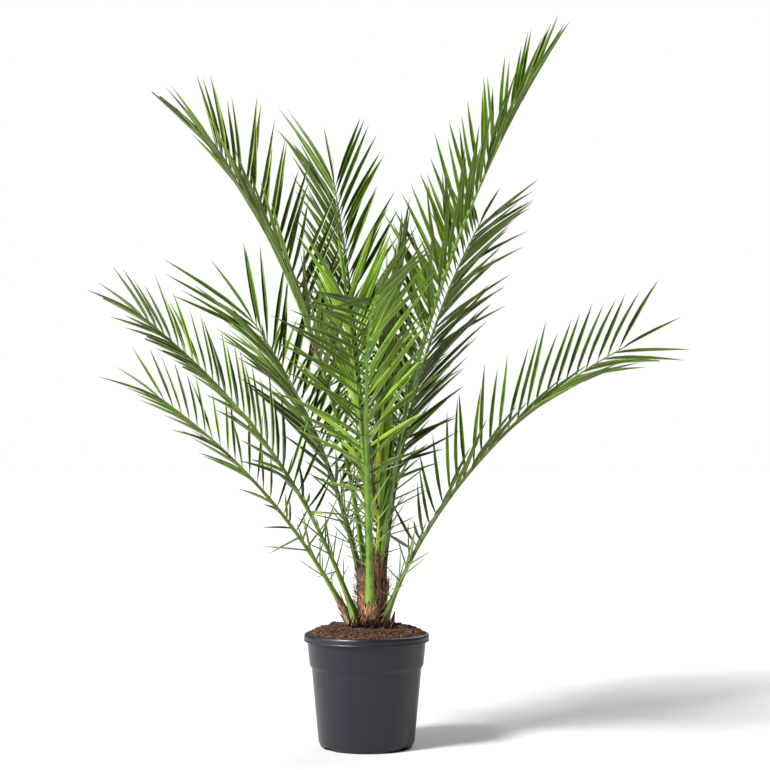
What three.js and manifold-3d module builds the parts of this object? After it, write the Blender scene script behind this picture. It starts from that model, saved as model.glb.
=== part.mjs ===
// A young date palm in a nursery pot, in millimetres, Z up.
//
// The origin is the middle of the pot's flat underside. The pot holds compost, heaped up to the
// foot of a short fibrous trunk. Each frond is a bare stalk that leaves the trunk, then a blade:
// a rib with a row of folded leaflets along either side.

import * as THREE from "three";
import { mergeVertices } from "three/addons/utils/BufferGeometryUtils.js";
import Module from "manifold-3d";

const wasm = await Module();
wasm.setup();

// Clearance between neighbouring pieces, and how much larger all round a piece cuts its neighbours
const GAP = 0.3;
const CUT = 0.6;

// The pot, 24 cm across its rim
const RIM_RADIUS = 120;
const POT_HEIGHT = 215;
const RIM_DEPTH = 14;
const COLLAR_RADIUS = 113.5;
const COLLAR_FOOT_RADIUS = 108.5;
const COLLAR_FOOT_HEIGHT = 155;
const BODY_RADIUS = 104.5;
const BODY_HEIGHT = 149;
const BODY_FOOT_RADIUS = 91.5;
const BEVEL_HEIGHT = 10;
const FOOT_RADIUS = 86;
const POT_WALL = 2;
const POT_FACETS = 32;

// The drain notches round the pot's bottom edge, and how far round each one is, in degrees
const NOTCH_TURNS = [36.5, 143.5, 216.5, 323.5];
const NOTCH_RADIUS = 16;
const NOTCH_HEIGHT = 7;
const NOTCH_DEPTH = 16;
const NOTCH_FACETS = 12;

// The compost, heaped from the rim to the foot of the trunk
const SOIL_TOP = 230;
const SOIL_FLAT_RADIUS = 62;
const SOIL_SLOPE_RADII = [83, 100];
const SOIL_SLOPE_HEIGHTS = [225.5, 219.5];
const SOIL_EDGE_HEIGHT = 211.5;

// The trunk, from a flat cut on the compost to its blunt top inside the crown
const TRUNK_X = 8;
const TRUNK_HEIGHT = 140;
const TRUNK_FOOT_RADIUS = 30;
const TRUNK_RADIUS = 22.5;
const TRUNK_TOP_RADIUS = 17;
const TRUNK_FLARE_HEIGHT = 26;
const TRUNK_FACETS = 14;

// The stubs of old leaf bases that wind up the trunk
const STUB_COUNT = 9;
const STUB_TURN = 137.5;
const STUB_FIRST_HEIGHT = 14;
const STUB_LENGTH = 40;
const STUB_WIDTH = 20;
const STUB_THICKNESS = 9;
const STUB_LEAN = 11;
const STUB_SINK = 6;

// A frond's stalk and rib: half widths and half thicknesses at the base, the blade's foot and the tip
const STALK_HALF_WIDTH = 11;
const STALK_HALF_THICKNESS = 7.5;
const BLADE_FOOT_HALF_WIDTH = 5.2;
const BLADE_FOOT_HALF_THICKNESS = 3.8;
const RIB_TIP_HALF_WIDTH = 1.5;
const STALK_SIDES = 6;
const RIB_SIDES = 3;
const STALK_STEPS = 6;
const RIB_STEPS = 9;
const LINE_STEPS = 24;

// How much wider a stalk clasps at its foot, by the distance over which that fades. The outer stalks
// stand on the compost, and are thicker there too.
const CLASP_WIDER = 0.55;
const CLASP_FADE = 30;
const OUTER_LEAST_UP = 40;
const OUTER_THICKER = 0.8;
const FOOT_SINK = 22;

// A leaflet: each stands for rather more than one of the plant's
const LEAFLET_SHARE = 1.55;
const LEAFLET_WIDTH = 18;
const LEAFLET_THINNESS = 85;
const LEAFLET_FOLD = 2.2;
const LEAFLET_WIDEST = 0.36;
const LEAFLET_CLEARANCE = 0.5;
const LEAFLET_TRIES = 4;

// How far a leaflet's splay and rise stray, in degrees: anywhere, low on the blade, and at each new try.
// Low leaflets splay further, and the V opens by a share of its rise towards the tip.
const SPLAY_SPREAD = 12;
const RISE_SPREAD = 24;
const TIP_OPENING = 0.75;
const LOW_SPLAY = 26;
const LOW_SPLAY_SPREAD = 36;
const LOW_RISE_SPREAD = 70;
const RETRY_SPLAY = 9;
const RETRY_RISE = 22;
const LENGTH_SPREAD = 0.24;

// The low stretch of a blade, where leaflets are short and stray, as a share of the blade
const LOW_SHARE = 0.25;
const LOW_LENGTH = 0.5;

// The spines on a stalk below its blade
const SPINE_PAIRS = 5;
const SPINE_LENGTH = 80;
const SPINE_WIDTH = 4.2;
const SPINE_SPLAY = 50;
const SPINE_SPLAY_SPREAD = 64;
const SPINE_RISE = 20;
const SPINE_RISE_SPREAD = 90;

// One row for each frond. Lengths are in millimetres and angles in degrees. "seat", "out" and "up"
// place its foot round the trunk's axis, out from it and above the compost. "turn" is the way that
// it leans, "lean" how far from upright at its foot, and "droop" how much further at its tip, by the
// power "bend" of the way along it; "sway" turns it sideways on the way, and "roll" turns its blade
// about its rib, with "twist" more at its tip. "bare" is the share of its length with no leaflets.
// "leaflet" is their length, "tip" the share of it at the frond's tip and "pitch" the distance
// between pairs. "splay" is their angle to the rib at the blade's foot, "close" at its tip, and
// "rise" how far they stand up in a V. "loose" is how much they stray from that, and "girth" how
// thick the stalk and rib are against the thickest.
const FIELDS = [
  "name", "seat", "turn", "out", "up", "lean", "droop", "bend", "sway", "roll", "twist",
  "length", "bare", "leaflet", "tip", "pitch", "splay", "close", "rise", "loose", "girth",
];
const FRONDS = [
  ["left_high", 190, 188, 11, 100, 7, 28, 1.2, 0, 38, 0, 866, 0.34, 196, 0.95, 15.5, 50, 26, 44, 1.0, 0.90],
  ["left_mid", 150, 150, 20, 80, 12.5, 25, 0.9, 6, 6, 40, 570, 0.32, 204, 1.00, 20, 46, 26, 22, 1.5, 0.70],
  ["left_wide", 200, 196, 29, 8, 18.5, 34, 1.0, -2, 34, 0, 708, 0.30, 172, 0.80, 17.5, 50, 32, 14, 0.8, 1.00],
  ["left_low", 170, 184, 42, 8, 26.5, 28, 1.0, 0, 30, 14, 565, 0.34, 128, 1.00, 20, 46, 26, 24, 1.3, 0.90],
  ["back_upright", 100, 104, 14, 110, 8, 24, 1.0, 3, 0, 0, 838, 0.34, 200, 1.04, 16, 34, 22, 26, 1.0, 0.85],
  ["right_high", 350, 350, 13, 100, 7.4, 23, 1.2, 0, -30, 0, 995, 0.33, 200, 0.70, 18, 50, 19, 46, 1.0, 1.20],
  ["right_back", 20, 58, 22, 75, 10.5, 35, 1.0, 0, -12, 0, 850, 0.26, 194, 0.85, 16, 43, 30, 16, 1.3, 0.80],
  ["right_wide", 322, 348, 30, 8, 20.3, 42, 1.0, 4, -24, -34, 700, 0.20, 182, 0.86, 23.5, 44, 36, 34, 0.8, 1.05],
  ["front", 268, 262, 30, 8, 3, 76, 1.3, 15, -5, -34, 775, 0.31, 200, 0.85, 28, 54, 34, 20, 1.3, 1.00],
  ["inner_left", 262, 245, 10, 125, 7, 10, 1.0, 0, 0, 0, 500, 0.36, 215, 0.80, 17, 40, 28, 24, 1.3, 0.60],
  ["spear", 318, 10, 14, 125, 3, 4, 1.0, 0, 0, 0, 520, 0.14, 250, 0.70, 13, 8, 6, 30, 1.0, 1.00],
  ["back_low", 75, 80, 20, 45, 26, 40, 1.0, 0, 0, 0, 680, 0.32, 170, 0.80, 20, 52, 24, 30, 1.5, 0.85],
  ["back_left", 130, 122, 20, 55, 22, 36, 1.0, 0, 0, 0, 660, 0.32, 170, 0.80, 20, 52, 24, 30, 1.5, 0.85],
];

// The colours of the pieces
const POT_COLOUR = 0x2e3134;
const SOIL_COLOUR = 0x33241a;
const TRUNK_COLOUR = 0x5d4633;
const STALK_COLOUR = 0x7e9645;
const FROND_COLOUR = 0x4a6b32;

// Degrees to radians
function radians(degrees) {
  return THREE.MathUtils.degToRad(degrees);
}

// A repeatable number from 0 to 1 for these whole numbers
function chance(a, b, c, d = 0) {
  const wave = Math.sin(a * 12.9898 + b * 78.233 + c * 37.719 + d * 4.581 + 1.7) * 43758.5453;
  return wave - Math.floor(wave);
}

// A closed geometry as a solid, with its shared vertices merged and its empty triangles left out
function solidOf(geometry) {
  geometry.deleteAttribute("normal");
  geometry.deleteAttribute("uv");
  const merged = mergeVertices(geometry, 1e-3);
  const index = merged.index.array;
  const triVerts = [];
  for (let i = 0; i < index.length; i += 3) {
    const [a, b, c] = index.slice(i, i + 3);
    if (a !== b && b !== c && c !== a) {
      triVerts.push(a, b, c);
    }
  }
  return new wasm.Manifold(new wasm.Mesh({
    numProp: 3,
    vertProperties: new Float32Array(merged.attributes.position.array),
    triVerts: new Uint32Array(triVerts),
  }));
}

// A solid from a list of points and a list of triangles
function solidFrom(points, triangles) {
  const geometry = new THREE.BufferGeometry().setFromPoints(points);
  geometry.setIndex(triangles.flat());
  return solidOf(geometry);
}

// A solid turned from a profile of [radius, height] points about the Z axis
function turned(profile, facets) {
  const points = profile.map(([radius, height]) => new THREE.Vector2(radius, height));
  const geometry = new THREE.LatheGeometry(points, facets);
  geometry.rotateX(Math.PI / 2);
  return geometry;
}

// A named mesh of one colour from a solid
function piece(name, solid, colour, roughness) {
  const { vertProperties, triVerts } = solid.getMesh();
  const geometry = new THREE.BufferGeometry();
  geometry.setAttribute("position", new THREE.BufferAttribute(vertProperties, 3));
  geometry.setIndex(new THREE.BufferAttribute(triVerts, 1));
  geometry.computeVertexNormals();
  const material = new THREE.MeshStandardMaterial({ color: colour, roughness, metalness: 0 });
  const mesh = new THREE.Mesh(geometry, material);
  mesh.name = name;
  return mesh;
}

// The pot: a thin moulded wall with a collar, a rolled rim and drain notches in its bottom edge
function potSolid() {
  const rimFoot = POT_HEIGHT - RIM_DEPTH;
  const wall = POT_WALL;
  let pot = solidOf(turned([
    [0, 0],
    [FOOT_RADIUS, 0],
    [BODY_FOOT_RADIUS, BEVEL_HEIGHT],
    [BODY_RADIUS, BODY_HEIGHT],
    [COLLAR_FOOT_RADIUS, COLLAR_FOOT_HEIGHT],
    [COLLAR_RADIUS, rimFoot - 1],
    [RIM_RADIUS - 1, rimFoot],
    [RIM_RADIUS, rimFoot + 3],
    [RIM_RADIUS, POT_HEIGHT - 3],
    [RIM_RADIUS - 3, POT_HEIGHT],
    [COLLAR_RADIUS - wall + 2, POT_HEIGHT],
    [COLLAR_RADIUS - wall, rimFoot - 1],
    [COLLAR_FOOT_RADIUS - wall, COLLAR_FOOT_HEIGHT],
    [BODY_RADIUS - wall, BODY_HEIGHT],
    [BODY_FOOT_RADIUS - wall, BEVEL_HEIGHT],
    [FOOT_RADIUS - wall, wall],
    [0, wall],
  ], POT_FACETS));
  for (const turn of NOTCH_TURNS) {
    const notch = new THREE.CylinderGeometry(NOTCH_RADIUS, NOTCH_RADIUS, NOTCH_DEPTH, NOTCH_FACETS);
    notch.rotateZ(Math.PI / 2);
    notch.scale(1, 1, NOTCH_HEIGHT / NOTCH_RADIUS);
    notch.translate(FOOT_RADIUS + NOTCH_DEPTH / 4, 0, 0);
    notch.rotateZ(radians(turn));
    pot = pot.subtract(solidOf(notch));
  }
  return pot;
}

// The compost: it fills the pot to the rim's inner edge and is heaped round the trunk
function soilSolid() {
  const inset = POT_WALL + GAP;
  const slope = SOIL_SLOPE_RADII.map((radius, k) => [radius, SOIL_SLOPE_HEIGHTS[k]]);
  return solidOf(turned([
    [0, inset],
    [FOOT_RADIUS - inset, inset],
    [BODY_FOOT_RADIUS - inset, BEVEL_HEIGHT],
    [BODY_RADIUS - inset, BODY_HEIGHT],
    [COLLAR_FOOT_RADIUS - inset, COLLAR_FOOT_HEIGHT],
    [COLLAR_RADIUS - inset, POT_HEIGHT - RIM_DEPTH - 1],
    [COLLAR_RADIUS - inset, SOIL_EDGE_HEIGHT],
    ...slope.reverse(),
    [SOIL_FLAT_RADIUS, SOIL_TOP],
    [0, SOIL_TOP],
  ], POT_FACETS));
}

// A limb through stations, each with its centre, its directions across and up, and its half sizes
function limb(stations, sides) {
  const points = [];
  const triangles = [];
  for (const { centre, across, up, halfWidth, halfThickness } of stations) {
    for (let k = 0; k < sides; k++) {
      const angle = Math.PI / 2 + k * 2 * Math.PI / sides;
      points.push(centre.clone()
        .addScaledVector(across, halfWidth * Math.cos(angle))
        .addScaledVector(up, halfThickness * Math.sin(angle)));
    }
  }
  for (let j = 0; j + 1 < stations.length; j++) {
    for (let k = 0; k < sides; k++) {
      const a = j * sides + k;
      const b = j * sides + (k + 1) % sides;
      triangles.push([a, b, a + sides], [b, b + sides, a + sides]);
    }
  }
  const last = (stations.length - 1) * sides;
  for (let k = 1; k + 1 < sides; k++) {
    triangles.push([0, k + 1, k], [last, last + k, last + k + 1]);
  }
  return solidFrom(points, triangles);
}

// The trunk, this much larger all round: a column that tapers from a flared foot, and old leaf bases
function trunkSolid(extra) {
  const foot = SOIL_TOP + GAP;
  const column = turned([
    [0, foot - extra],
    [TRUNK_FOOT_RADIUS + extra, foot - extra],
    [(TRUNK_FOOT_RADIUS + TRUNK_RADIUS) / 2 + extra, foot + TRUNK_FLARE_HEIGHT / 3],
    [TRUNK_RADIUS + extra, foot + TRUNK_FLARE_HEIGHT],
    [TRUNK_RADIUS - 2 + extra, foot + TRUNK_HEIGHT * 0.6],
    [TRUNK_TOP_RADIUS + extra, foot + TRUNK_HEIGHT * 0.88],
    [TRUNK_TOP_RADIUS / 2 + extra, foot + TRUNK_HEIGHT + extra],
    [0, foot + TRUNK_HEIGHT + extra],
  ], TRUNK_FACETS);
  column.translate(TRUNK_X, 0, 0);
  let trunk = solidOf(column);
  for (let i = 0; i < STUB_COUNT; i++) {
    const turn = i * STUB_TURN;
    const height = foot + STUB_FIRST_HEIGHT + i * (TRUNK_HEIGHT * 0.5 / STUB_COUNT);
    const { along, across, up } = axes(turn, STUB_LEAN, 0);
    const outwards = axes(turn, 90, 0).along;
    const start = new THREE.Vector3(TRUNK_X, 0, height).addScaledVector(outwards, TRUNK_RADIUS - STUB_SINK);
    const stations = [0, 0.7, 1].map((way) => ({
      centre: start.clone().addScaledVector(along, way * (STUB_LENGTH + extra)),
      across,
      up,
      halfWidth: STUB_WIDTH / 2 * (1 - 0.45 * way) + extra,
      halfThickness: STUB_THICKNESS / 2 * (1 - 0.6 * way) + extra,
    }));
    trunk = trunk.add(limb(stations, 4));
  }
  return trunk;
}

// The directions along a frond that leans this way, and across and up from its face
function axes(turn, lean, roll) {
  const a = radians(turn);
  const b = radians(lean);
  const r = radians(roll);
  const along = new THREE.Vector3(Math.sin(b) * Math.cos(a), Math.sin(b) * Math.sin(a), Math.cos(b));
  const face = new THREE.Vector3(-Math.cos(b) * Math.cos(a), -Math.cos(b) * Math.sin(a), Math.sin(b));
  const side = new THREE.Vector3(-Math.sin(a), Math.cos(a), 0);
  const across = side.clone().multiplyScalar(Math.cos(r)).addScaledVector(face, -Math.sin(r));
  const up = face.clone().multiplyScalar(Math.cos(r)).addScaledVector(side, Math.sin(r));
  return { along, across, up };
}

// A frond's own functions: its centre line, bent as its row says, and the place at a share of its length
function frondLine(frond) {
  const axesAt = (share) => axes(
    frond.turn + frond.sway * share,
    frond.lean + frond.droop * Math.max(share, 0) ** frond.bend,
    frond.roll + frond.twist * Math.max(share, 0) ** 2,
  );
  const seat = radians(frond.seat);
  const points = [new THREE.Vector3(
    TRUNK_X + frond.out * Math.cos(seat),
    frond.out * Math.sin(seat),
    SOIL_TOP + frond.up,
  )];
  for (let i = 0; i < LINE_STEPS; i++) {
    const { along } = axesAt((i + 0.5) / LINE_STEPS);
    points.push(points[i].clone().addScaledVector(along, frond.length / LINE_STEPS));
  }
  return (share) => {
    const step = Math.min(Math.max(share * LINE_STEPS, 0), LINE_STEPS - 1e-6);
    const i = Math.floor(step);
    const directions = axesAt(share);
    const centre = points[i].clone().lerp(points[i + 1], step - i);
    centre.addScaledVector(directions.along, frond.length * Math.min(share, 0));
    return { centre, ...directions };
  };
}

// The half width and half thickness of the stalk and rib at a share of the frond's length
function limbSize(frond, share) {
  if (share < frond.bare) {
    const way = Math.sqrt(Math.max(share, 0) / frond.bare);
    const clasp = Math.exp(-Math.max(share, 0) * frond.length / CLASP_FADE);
    const thicker = frond.up < OUTER_LEAST_UP ? OUTER_THICKER : 0;
    const halfWidth = frond.girth * THREE.MathUtils.lerp(STALK_HALF_WIDTH, BLADE_FOOT_HALF_WIDTH, way);
    const halfThickness = frond.girth
      * THREE.MathUtils.lerp(STALK_HALF_THICKNESS, BLADE_FOOT_HALF_THICKNESS, way);
    return {
      halfWidth: halfWidth * (1 + CLASP_WIDER * clasp),
      halfThickness: halfThickness * (1 + thicker * clasp),
    };
  }
  const way = (share - frond.bare) / (1 - frond.bare);
  const half = THREE.MathUtils.lerp(BLADE_FOOT_HALF_WIDTH * frond.girth, RIB_TIP_HALF_WIDTH, way);
  return { halfWidth: half, halfThickness: half };
}

// The limb of a frond between two shares of its length, this much larger all round
function frondLimb(frond, placeAt, from, to, steps, sides, extra) {
  const stations = [];
  for (let i = 0; i <= steps; i++) {
    const share = from + (to - from) * i / steps;
    const { halfWidth, halfThickness } = limbSize(frond, share);
    stations.push({ ...placeAt(share), halfWidth: halfWidth + extra, halfThickness: halfThickness + extra });
  }
  return limb(stations, sides);
}

// A leaflet or spine: a slim blade of eight faces, folded in a V along its middle
function blade({ root, direction, length, width, across }) {
  const side = across.clone().addScaledVector(direction, -across.dot(direction)).normalize();
  const face = direction.clone().cross(side);
  const middle = root.clone().addScaledVector(direction, length * LEAFLET_WIDEST);
  const halfThickness = Math.max(length / LEAFLET_THINNESS, 1.6) / 2;
  const fold = Math.min(LEAFLET_FOLD, width / 6);
  const points = [
    root,
    middle.clone().addScaledVector(side, width / 2).addScaledVector(face, fold),
    middle.clone().addScaledVector(face, halfThickness),
    middle.clone().addScaledVector(side, -width / 2).addScaledVector(face, fold),
    middle.clone().addScaledVector(face, -halfThickness),
    root.clone().addScaledVector(direction, length),
  ];
  const triangles = [];
  for (let k = 1; k <= 4; k++) {
    const next = k % 4 + 1;
    triangles.push([0, next, k], [5, k, next]);
  }
  return solidFrom(points, triangles);
}

// The shapes that a new leaflet or spine must stay clear of
const obstacles = [];

// Whether a slim shape that leaves its root this way stays clear of every other node
function isClear(solid, root, direction, owner) {
  const box = solid.boundingBox();
  const ray = new THREE.Ray(root, direction);
  for (const other of obstacles) {
    if (other.owner === owner) {
      continue;
    }
    const apart = [0, 1, 2].some((k) => box.min[k] > other.box.max[k] + LEAFLET_CLEARANCE
      || box.max[k] < other.box.min[k] - LEAFLET_CLEARANCE);
    if (apart || (other.root && ray.distanceSqToSegment(other.root, other.end) > LEAFLET_WIDTH ** 2)) {
      continue;
    }
    if (solid.minGap(other.solid, LEAFLET_CLEARANCE) < LEAFLET_CLEARANCE) {
      return false;
    }
  }
  return true;
}

// Puts a shape on the list of those that later ones stay clear of
function keepClearOf(solid, owner, root, end) {
  obstacles.push({ solid, owner, root, end, box: solid.boundingBox() });
}

// The direction of a leaflet or spine at this angle to its limb, standing up this far on this side
function sprout({ along, across, up }, side, splay, rise) {
  const out = across.clone().multiplyScalar(side * Math.cos(rise)).addScaledVector(up, Math.sin(rise));
  return along.clone().multiplyScalar(Math.cos(splay)).addScaledVector(out, Math.sin(splay));
}

// How one leaflet grows: its root, direction, length and width, for the pair, side and try
function leafletAt(frond, number, pair, pairs, side, attempt) {
  const stray = (kind) => chance(number, pair, side, kind) - 0.5;
  const way = Math.min((pair + 0.5 + 0.2 * side) / pairs, 1);
  const place = frond.placeAt(frond.bare + (1 - frond.bare) * way);
  const low = Math.max(0, 1 - way / LOW_SHARE);
  const splay = radians(frond.splay + (frond.close - frond.splay) * way ** 2.2
    + SPLAY_SPREAD * frond.loose * stray(0)
    + low * (LOW_SPLAY + LOW_SPLAY_SPREAD * stray(1))
    + RETRY_SPLAY * attempt * stray(5));
  const rise = radians(frond.rise * (1 - TIP_OPENING * way ** 3)
    + RISE_SPREAD * frond.loose * stray(2)
    + LOW_RISE_SPREAD * low * stray(3)
    + RETRY_RISE * attempt * stray(6));
  const grown = 1 - (1 - LOW_LENGTH) * low;
  const faded = 1 - (1 - frond.tip) * Math.max(0, (way - 0.3) / 0.7) ** 1.3;
  const length = frond.leaflet * grown * faded * (1 + LENGTH_SPREAD * stray(4));
  return {
    root: place.centre,
    direction: sprout(place, side, splay, rise),
    length,
    width: LEAFLET_WIDTH * (0.6 + 0.4 * length / frond.leaflet),
    across: place.along.clone().multiplyScalar(-side),
  };
}

// How one spine grows from the upper part of a stalk, longer towards the blade
function spineAt(frond, number, pair, side) {
  const grown = (pair + 0.5 + 0.3 * side) / SPINE_PAIRS;
  const place = frond.placeAt(frond.bare * (0.34 + 0.64 * grown));
  const splay = radians(SPINE_SPLAY + SPINE_SPLAY_SPREAD * (chance(number, pair, side, 7) - 0.5));
  const rise = radians(SPINE_RISE + SPINE_RISE_SPREAD * (chance(number, pair, side, 8) - 0.5));
  return {
    root: place.centre,
    direction: sprout(place, side, splay, rise),
    length: SPINE_LENGTH * (0.45 + 0.35 * chance(number, pair, side, 9) + 0.65 * grown),
    width: SPINE_WIDTH,
    across: place.along.clone().multiplyScalar(-side),
  };
}

// Every spine of a stalk, each a list of one shape to try
function spinesOf(frond, number) {
  const spines = [];
  for (let pair = 0; pair < SPINE_PAIRS; pair++) {
    for (const side of [-1, 1]) {
      spines.push([spineAt(frond, number, pair, side)]);
    }
  }
  return spines;
}

// Every leaflet of a blade, each a list of shapes to try in turn, with one that ends the rib
function leafletsOf(frond, number) {
  const pairs = Math.round(frond.length * (1 - frond.bare) / frond.pitch / LEAFLET_SHARE);
  const leaflets = [];
  for (let pair = 0; pair < pairs; pair++) {
    for (const side of [-1, 1]) {
      const shapes = [];
      for (let attempt = 0; attempt < LEAFLET_TRIES; attempt++) {
        shapes.push(leafletAt(frond, number, pair, pairs, side, attempt));
      }
      leaflets.push(shapes);
    }
  }
  const { centre, along, across } = frond.placeAt(1 - 2 / frond.length);
  const length = frond.leaflet * frond.tip * 0.8;
  leaflets.push([{ root: centre, direction: along, length, width: LEAFLET_WIDTH * 0.8, across }]);
  return leaflets;
}

// Fuses to a limb the first shape of each list that stays clear of the other nodes and seals no hollow
function grow(limbSolid, lists, owner) {
  let grown = limbSolid;
  for (const shapes of lists) {
    for (const shape of shapes) {
      const solid = blade(shape);
      const joined = grown.add(solid);
      if (isClear(solid, shape.root, shape.direction, owner) && joined.decompose().length === 1) {
        const end = shape.root.clone().addScaledVector(shape.direction, shape.length);
        keepClearOf(solid, owner, shape.root, end);
        grown = joined;
        break;
      }
    }
  }
  return grown;
}

// The largest body of a solid, once cuts have parted it
function largest(solid) {
  return solid.decompose().reduce((best, body) => (body.volume() > best.volume() ? body : best));
}

const fronds = FRONDS.map((row) => Object.fromEntries(FIELDS.map((field, k) => [field, row[k]])));
const palm = new THREE.Group();

const pot = potSolid();
const soil = soilSolid();
const trunk = trunkSolid(0);
palm.add(piece("pot", pot, POT_COLOUR, 0.5));
palm.add(piece("soil", soil, SOIL_COLOUR, 0.95));
palm.add(piece("trunk", trunk, TRUNK_COLOUR, 0.9));
for (const solid of [pot, soil, trunk]) {
  keepClearOf(solid, "foot");
}

// Each stalk is cut clear of the trunk that it leaves and of the stalks that were there before it, and an
// outer one, which runs down to the compost, is cut level just above it
const cutters = [trunkSolid(CUT)];
for (const frond of fronds) {
  const placeAt = frondLine(frond);
  const limbOf = (from, to, steps, sides, extra) => frondLimb(frond, placeAt, from, to, steps, sides, extra);
  const start = frond.up < OUTER_LEAST_UP ? -FOOT_SINK / frond.length : 0;
  const stalk = limbOf(start, frond.bare, STALK_STEPS, STALK_SIDES, 0).trimByPlane([0, 0, 1], SOIL_TOP + GAP);
  frond.placeAt = placeAt;
  frond.stalk = largest(cutters.reduce((rest, cutter) => rest.subtract(cutter), stalk));
  frond.rib = limbOf(frond.bare + GAP / frond.length, 1, RIB_STEPS, RIB_SIDES, 0);
  cutters.push(limbOf(start, frond.bare, STALK_STEPS, STALK_SIDES, CUT));
  keepClearOf(frond.stalk, `stalk_${frond.name}`);
  keepClearOf(frond.rib, `frond_${frond.name}`);
}

// Spines grow on every stalk, then the leaflets on every rib
for (const [number, frond] of fronds.entries()) {
  const name = `stalk_${frond.name}`;
  palm.add(piece(name, grow(frond.stalk, spinesOf(frond, number), name), STALK_COLOUR, 0.6));
}
for (const [number, frond] of fronds.entries()) {
  const name = `frond_${frond.name}`;
  palm.add(piece(name, grow(frond.rib, leafletsOf(frond, number), name), FROND_COLOUR, 0.55));
}

export default palm;
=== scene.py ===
# A young date palm in a nursery pot: the finished surfaces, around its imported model. Metres, Z up.
#
# The pot stands on its flat underside at the origin, and -Y points at the camera.

import math

import bpy
import numpy as np
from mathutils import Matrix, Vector, noise


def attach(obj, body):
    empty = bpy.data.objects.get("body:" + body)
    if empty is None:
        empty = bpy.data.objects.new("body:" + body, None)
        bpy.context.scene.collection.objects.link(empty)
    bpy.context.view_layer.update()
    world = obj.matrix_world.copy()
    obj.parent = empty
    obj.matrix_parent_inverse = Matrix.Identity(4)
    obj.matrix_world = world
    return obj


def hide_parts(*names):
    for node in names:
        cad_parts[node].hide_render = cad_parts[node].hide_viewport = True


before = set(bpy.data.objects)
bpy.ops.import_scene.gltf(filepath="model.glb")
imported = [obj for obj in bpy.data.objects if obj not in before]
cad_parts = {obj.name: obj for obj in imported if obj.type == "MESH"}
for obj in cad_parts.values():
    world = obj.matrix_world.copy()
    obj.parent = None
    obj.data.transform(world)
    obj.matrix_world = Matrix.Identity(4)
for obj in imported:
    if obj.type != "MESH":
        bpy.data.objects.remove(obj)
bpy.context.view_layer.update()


# The camera
# It stands 3.2 m off, level with the middle of the stalks, and looks slightly up, so that the pot's
# rim shows as a flat ellipse and its foot as a rounder one.

CAMERA_PLACE = Vector((0.035, -3.2, 0.56))
CAMERA_TARGET = Vector((0.035, 0.0, 0.688))
CAMERA_LENS = 78.0
CAMERA_SENSOR = 36.0
CAMERA_REACH = 200.0


def placed(name, data):
    """A new object with this data, in the scene."""
    thing = bpy.data.objects.new(name, data)
    bpy.context.scene.collection.objects.link(thing)
    return thing


camera_data = bpy.data.cameras.new("camera")
camera_data.lens = CAMERA_LENS
camera_data.sensor_width = CAMERA_SENSOR
camera_data.clip_end = CAMERA_REACH
camera = placed("camera", camera_data)
camera.location = CAMERA_PLACE
camera.rotation_euler = (CAMERA_TARGET - CAMERA_PLACE).to_track_quat("-Z", "Y").to_euler()
bpy.context.scene.camera = camera


# The studio
# A pale floor and background, with one large light high on the left, a weaker and wider one low on
# the left, one high behind on the right and a little from all round, as a product photograph has.

FLOOR_HALF = 60.0
FLOOR_COLOUR = (0.62, 0.62, 0.615)
FLOOR_GREYER = (0.60, 0.60, 0.59)
BACKGROUND_BRIGHTNESS = 1.0
SKY_BRIGHTNESS = 0.20
# Each light's name, direction that it comes from, strength and how many degrees wide it is
LIGHTS = [
    ("key", (-0.62, -0.50, 0.74), 5.8, 14.0),
    ("side", (-0.94, -0.32, 0.12), 2.1, 70.0),
    ("back", (0.45, 0.70, 0.80), 1.6, 50.0),
]


def add(tree, kind, inputs=None, **properties):
    """A new node of this kind, its inputs set to values or joined to other nodes' outputs."""
    node = tree.nodes.new(kind)
    for name, value in properties.items():
        setattr(node, name, value)
    for key, value in (inputs or {}).items():
        if isinstance(value, bpy.types.NodeSocket):
            tree.links.new(value, node.inputs[key])
        else:
            node.inputs[key].default_value = value
    return node


def ramp(tree, factor, *stops):
    """The colour of a factor on a ramp of (position, colour) stops."""
    node = add(tree, "ShaderNodeValToRGB", {"Fac": factor})
    elements = node.color_ramp.elements
    elements.remove(elements[1])
    elements[0].position = stops[0][0]
    elements[0].color = (*stops[0][1], 1.0)
    for position, colour in stops[1:]:
        elements.new(position).color = (*colour, 1.0)
    return node.outputs["Color"]


def mapped(tree, scale=(1.0, 1.0, 1.0), source="Object"):
    """Texture coordinates of the piece, stretched by this scale."""
    coordinates = add(tree, "ShaderNodeTexCoord")
    mapping = add(tree, "ShaderNodeMapping", {"Vector": coordinates.outputs[source], "Scale": scale})
    return mapping.outputs["Vector"]


def speckle(tree, vector, scale, detail=4.0, roughness=0.55):
    """Noise from 0 to 1 at these coordinates."""
    return add(tree, "ShaderNodeTexNoise", {
        "Vector": vector, "Scale": scale, "Detail": detail, "Roughness": roughness,
    }).outputs["Fac"]


def blend(tree, factor, first, second):
    """Two colours mixed by a factor."""
    node = add(tree, "ShaderNodeMix", data_type="RGBA")
    sockets = [node.inputs["Factor"], node.inputs[6], node.inputs[7]]
    for socket, value in zip(sockets, [factor, first, second]):
        if isinstance(value, bpy.types.NodeSocket):
            tree.links.new(value, socket)
        elif isinstance(value, tuple):
            socket.default_value = (*value, 1.0)
        else:
            socket.default_value = value
    return node.outputs[2]


def spread(tree, factor, low, high, start=0.0, end=1.0):
    """A factor between start and end spread between two other numbers."""
    return add(tree, "ShaderNodeMapRange", {
        "Value": factor, "From Min": start, "From Max": end, "To Min": low, "To Max": high,
    }).outputs["Result"]


def new_finish(name, specular=0.5):
    """A material with one Principled shader, and that shader and its tree."""
    material = bpy.data.materials.new(name)
    material.use_nodes = True
    tree = material.node_tree
    shader = tree.nodes["Principled BSDF"]
    shader.inputs["Specular IOR Level"].default_value = specular
    return material, tree, shader


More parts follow.
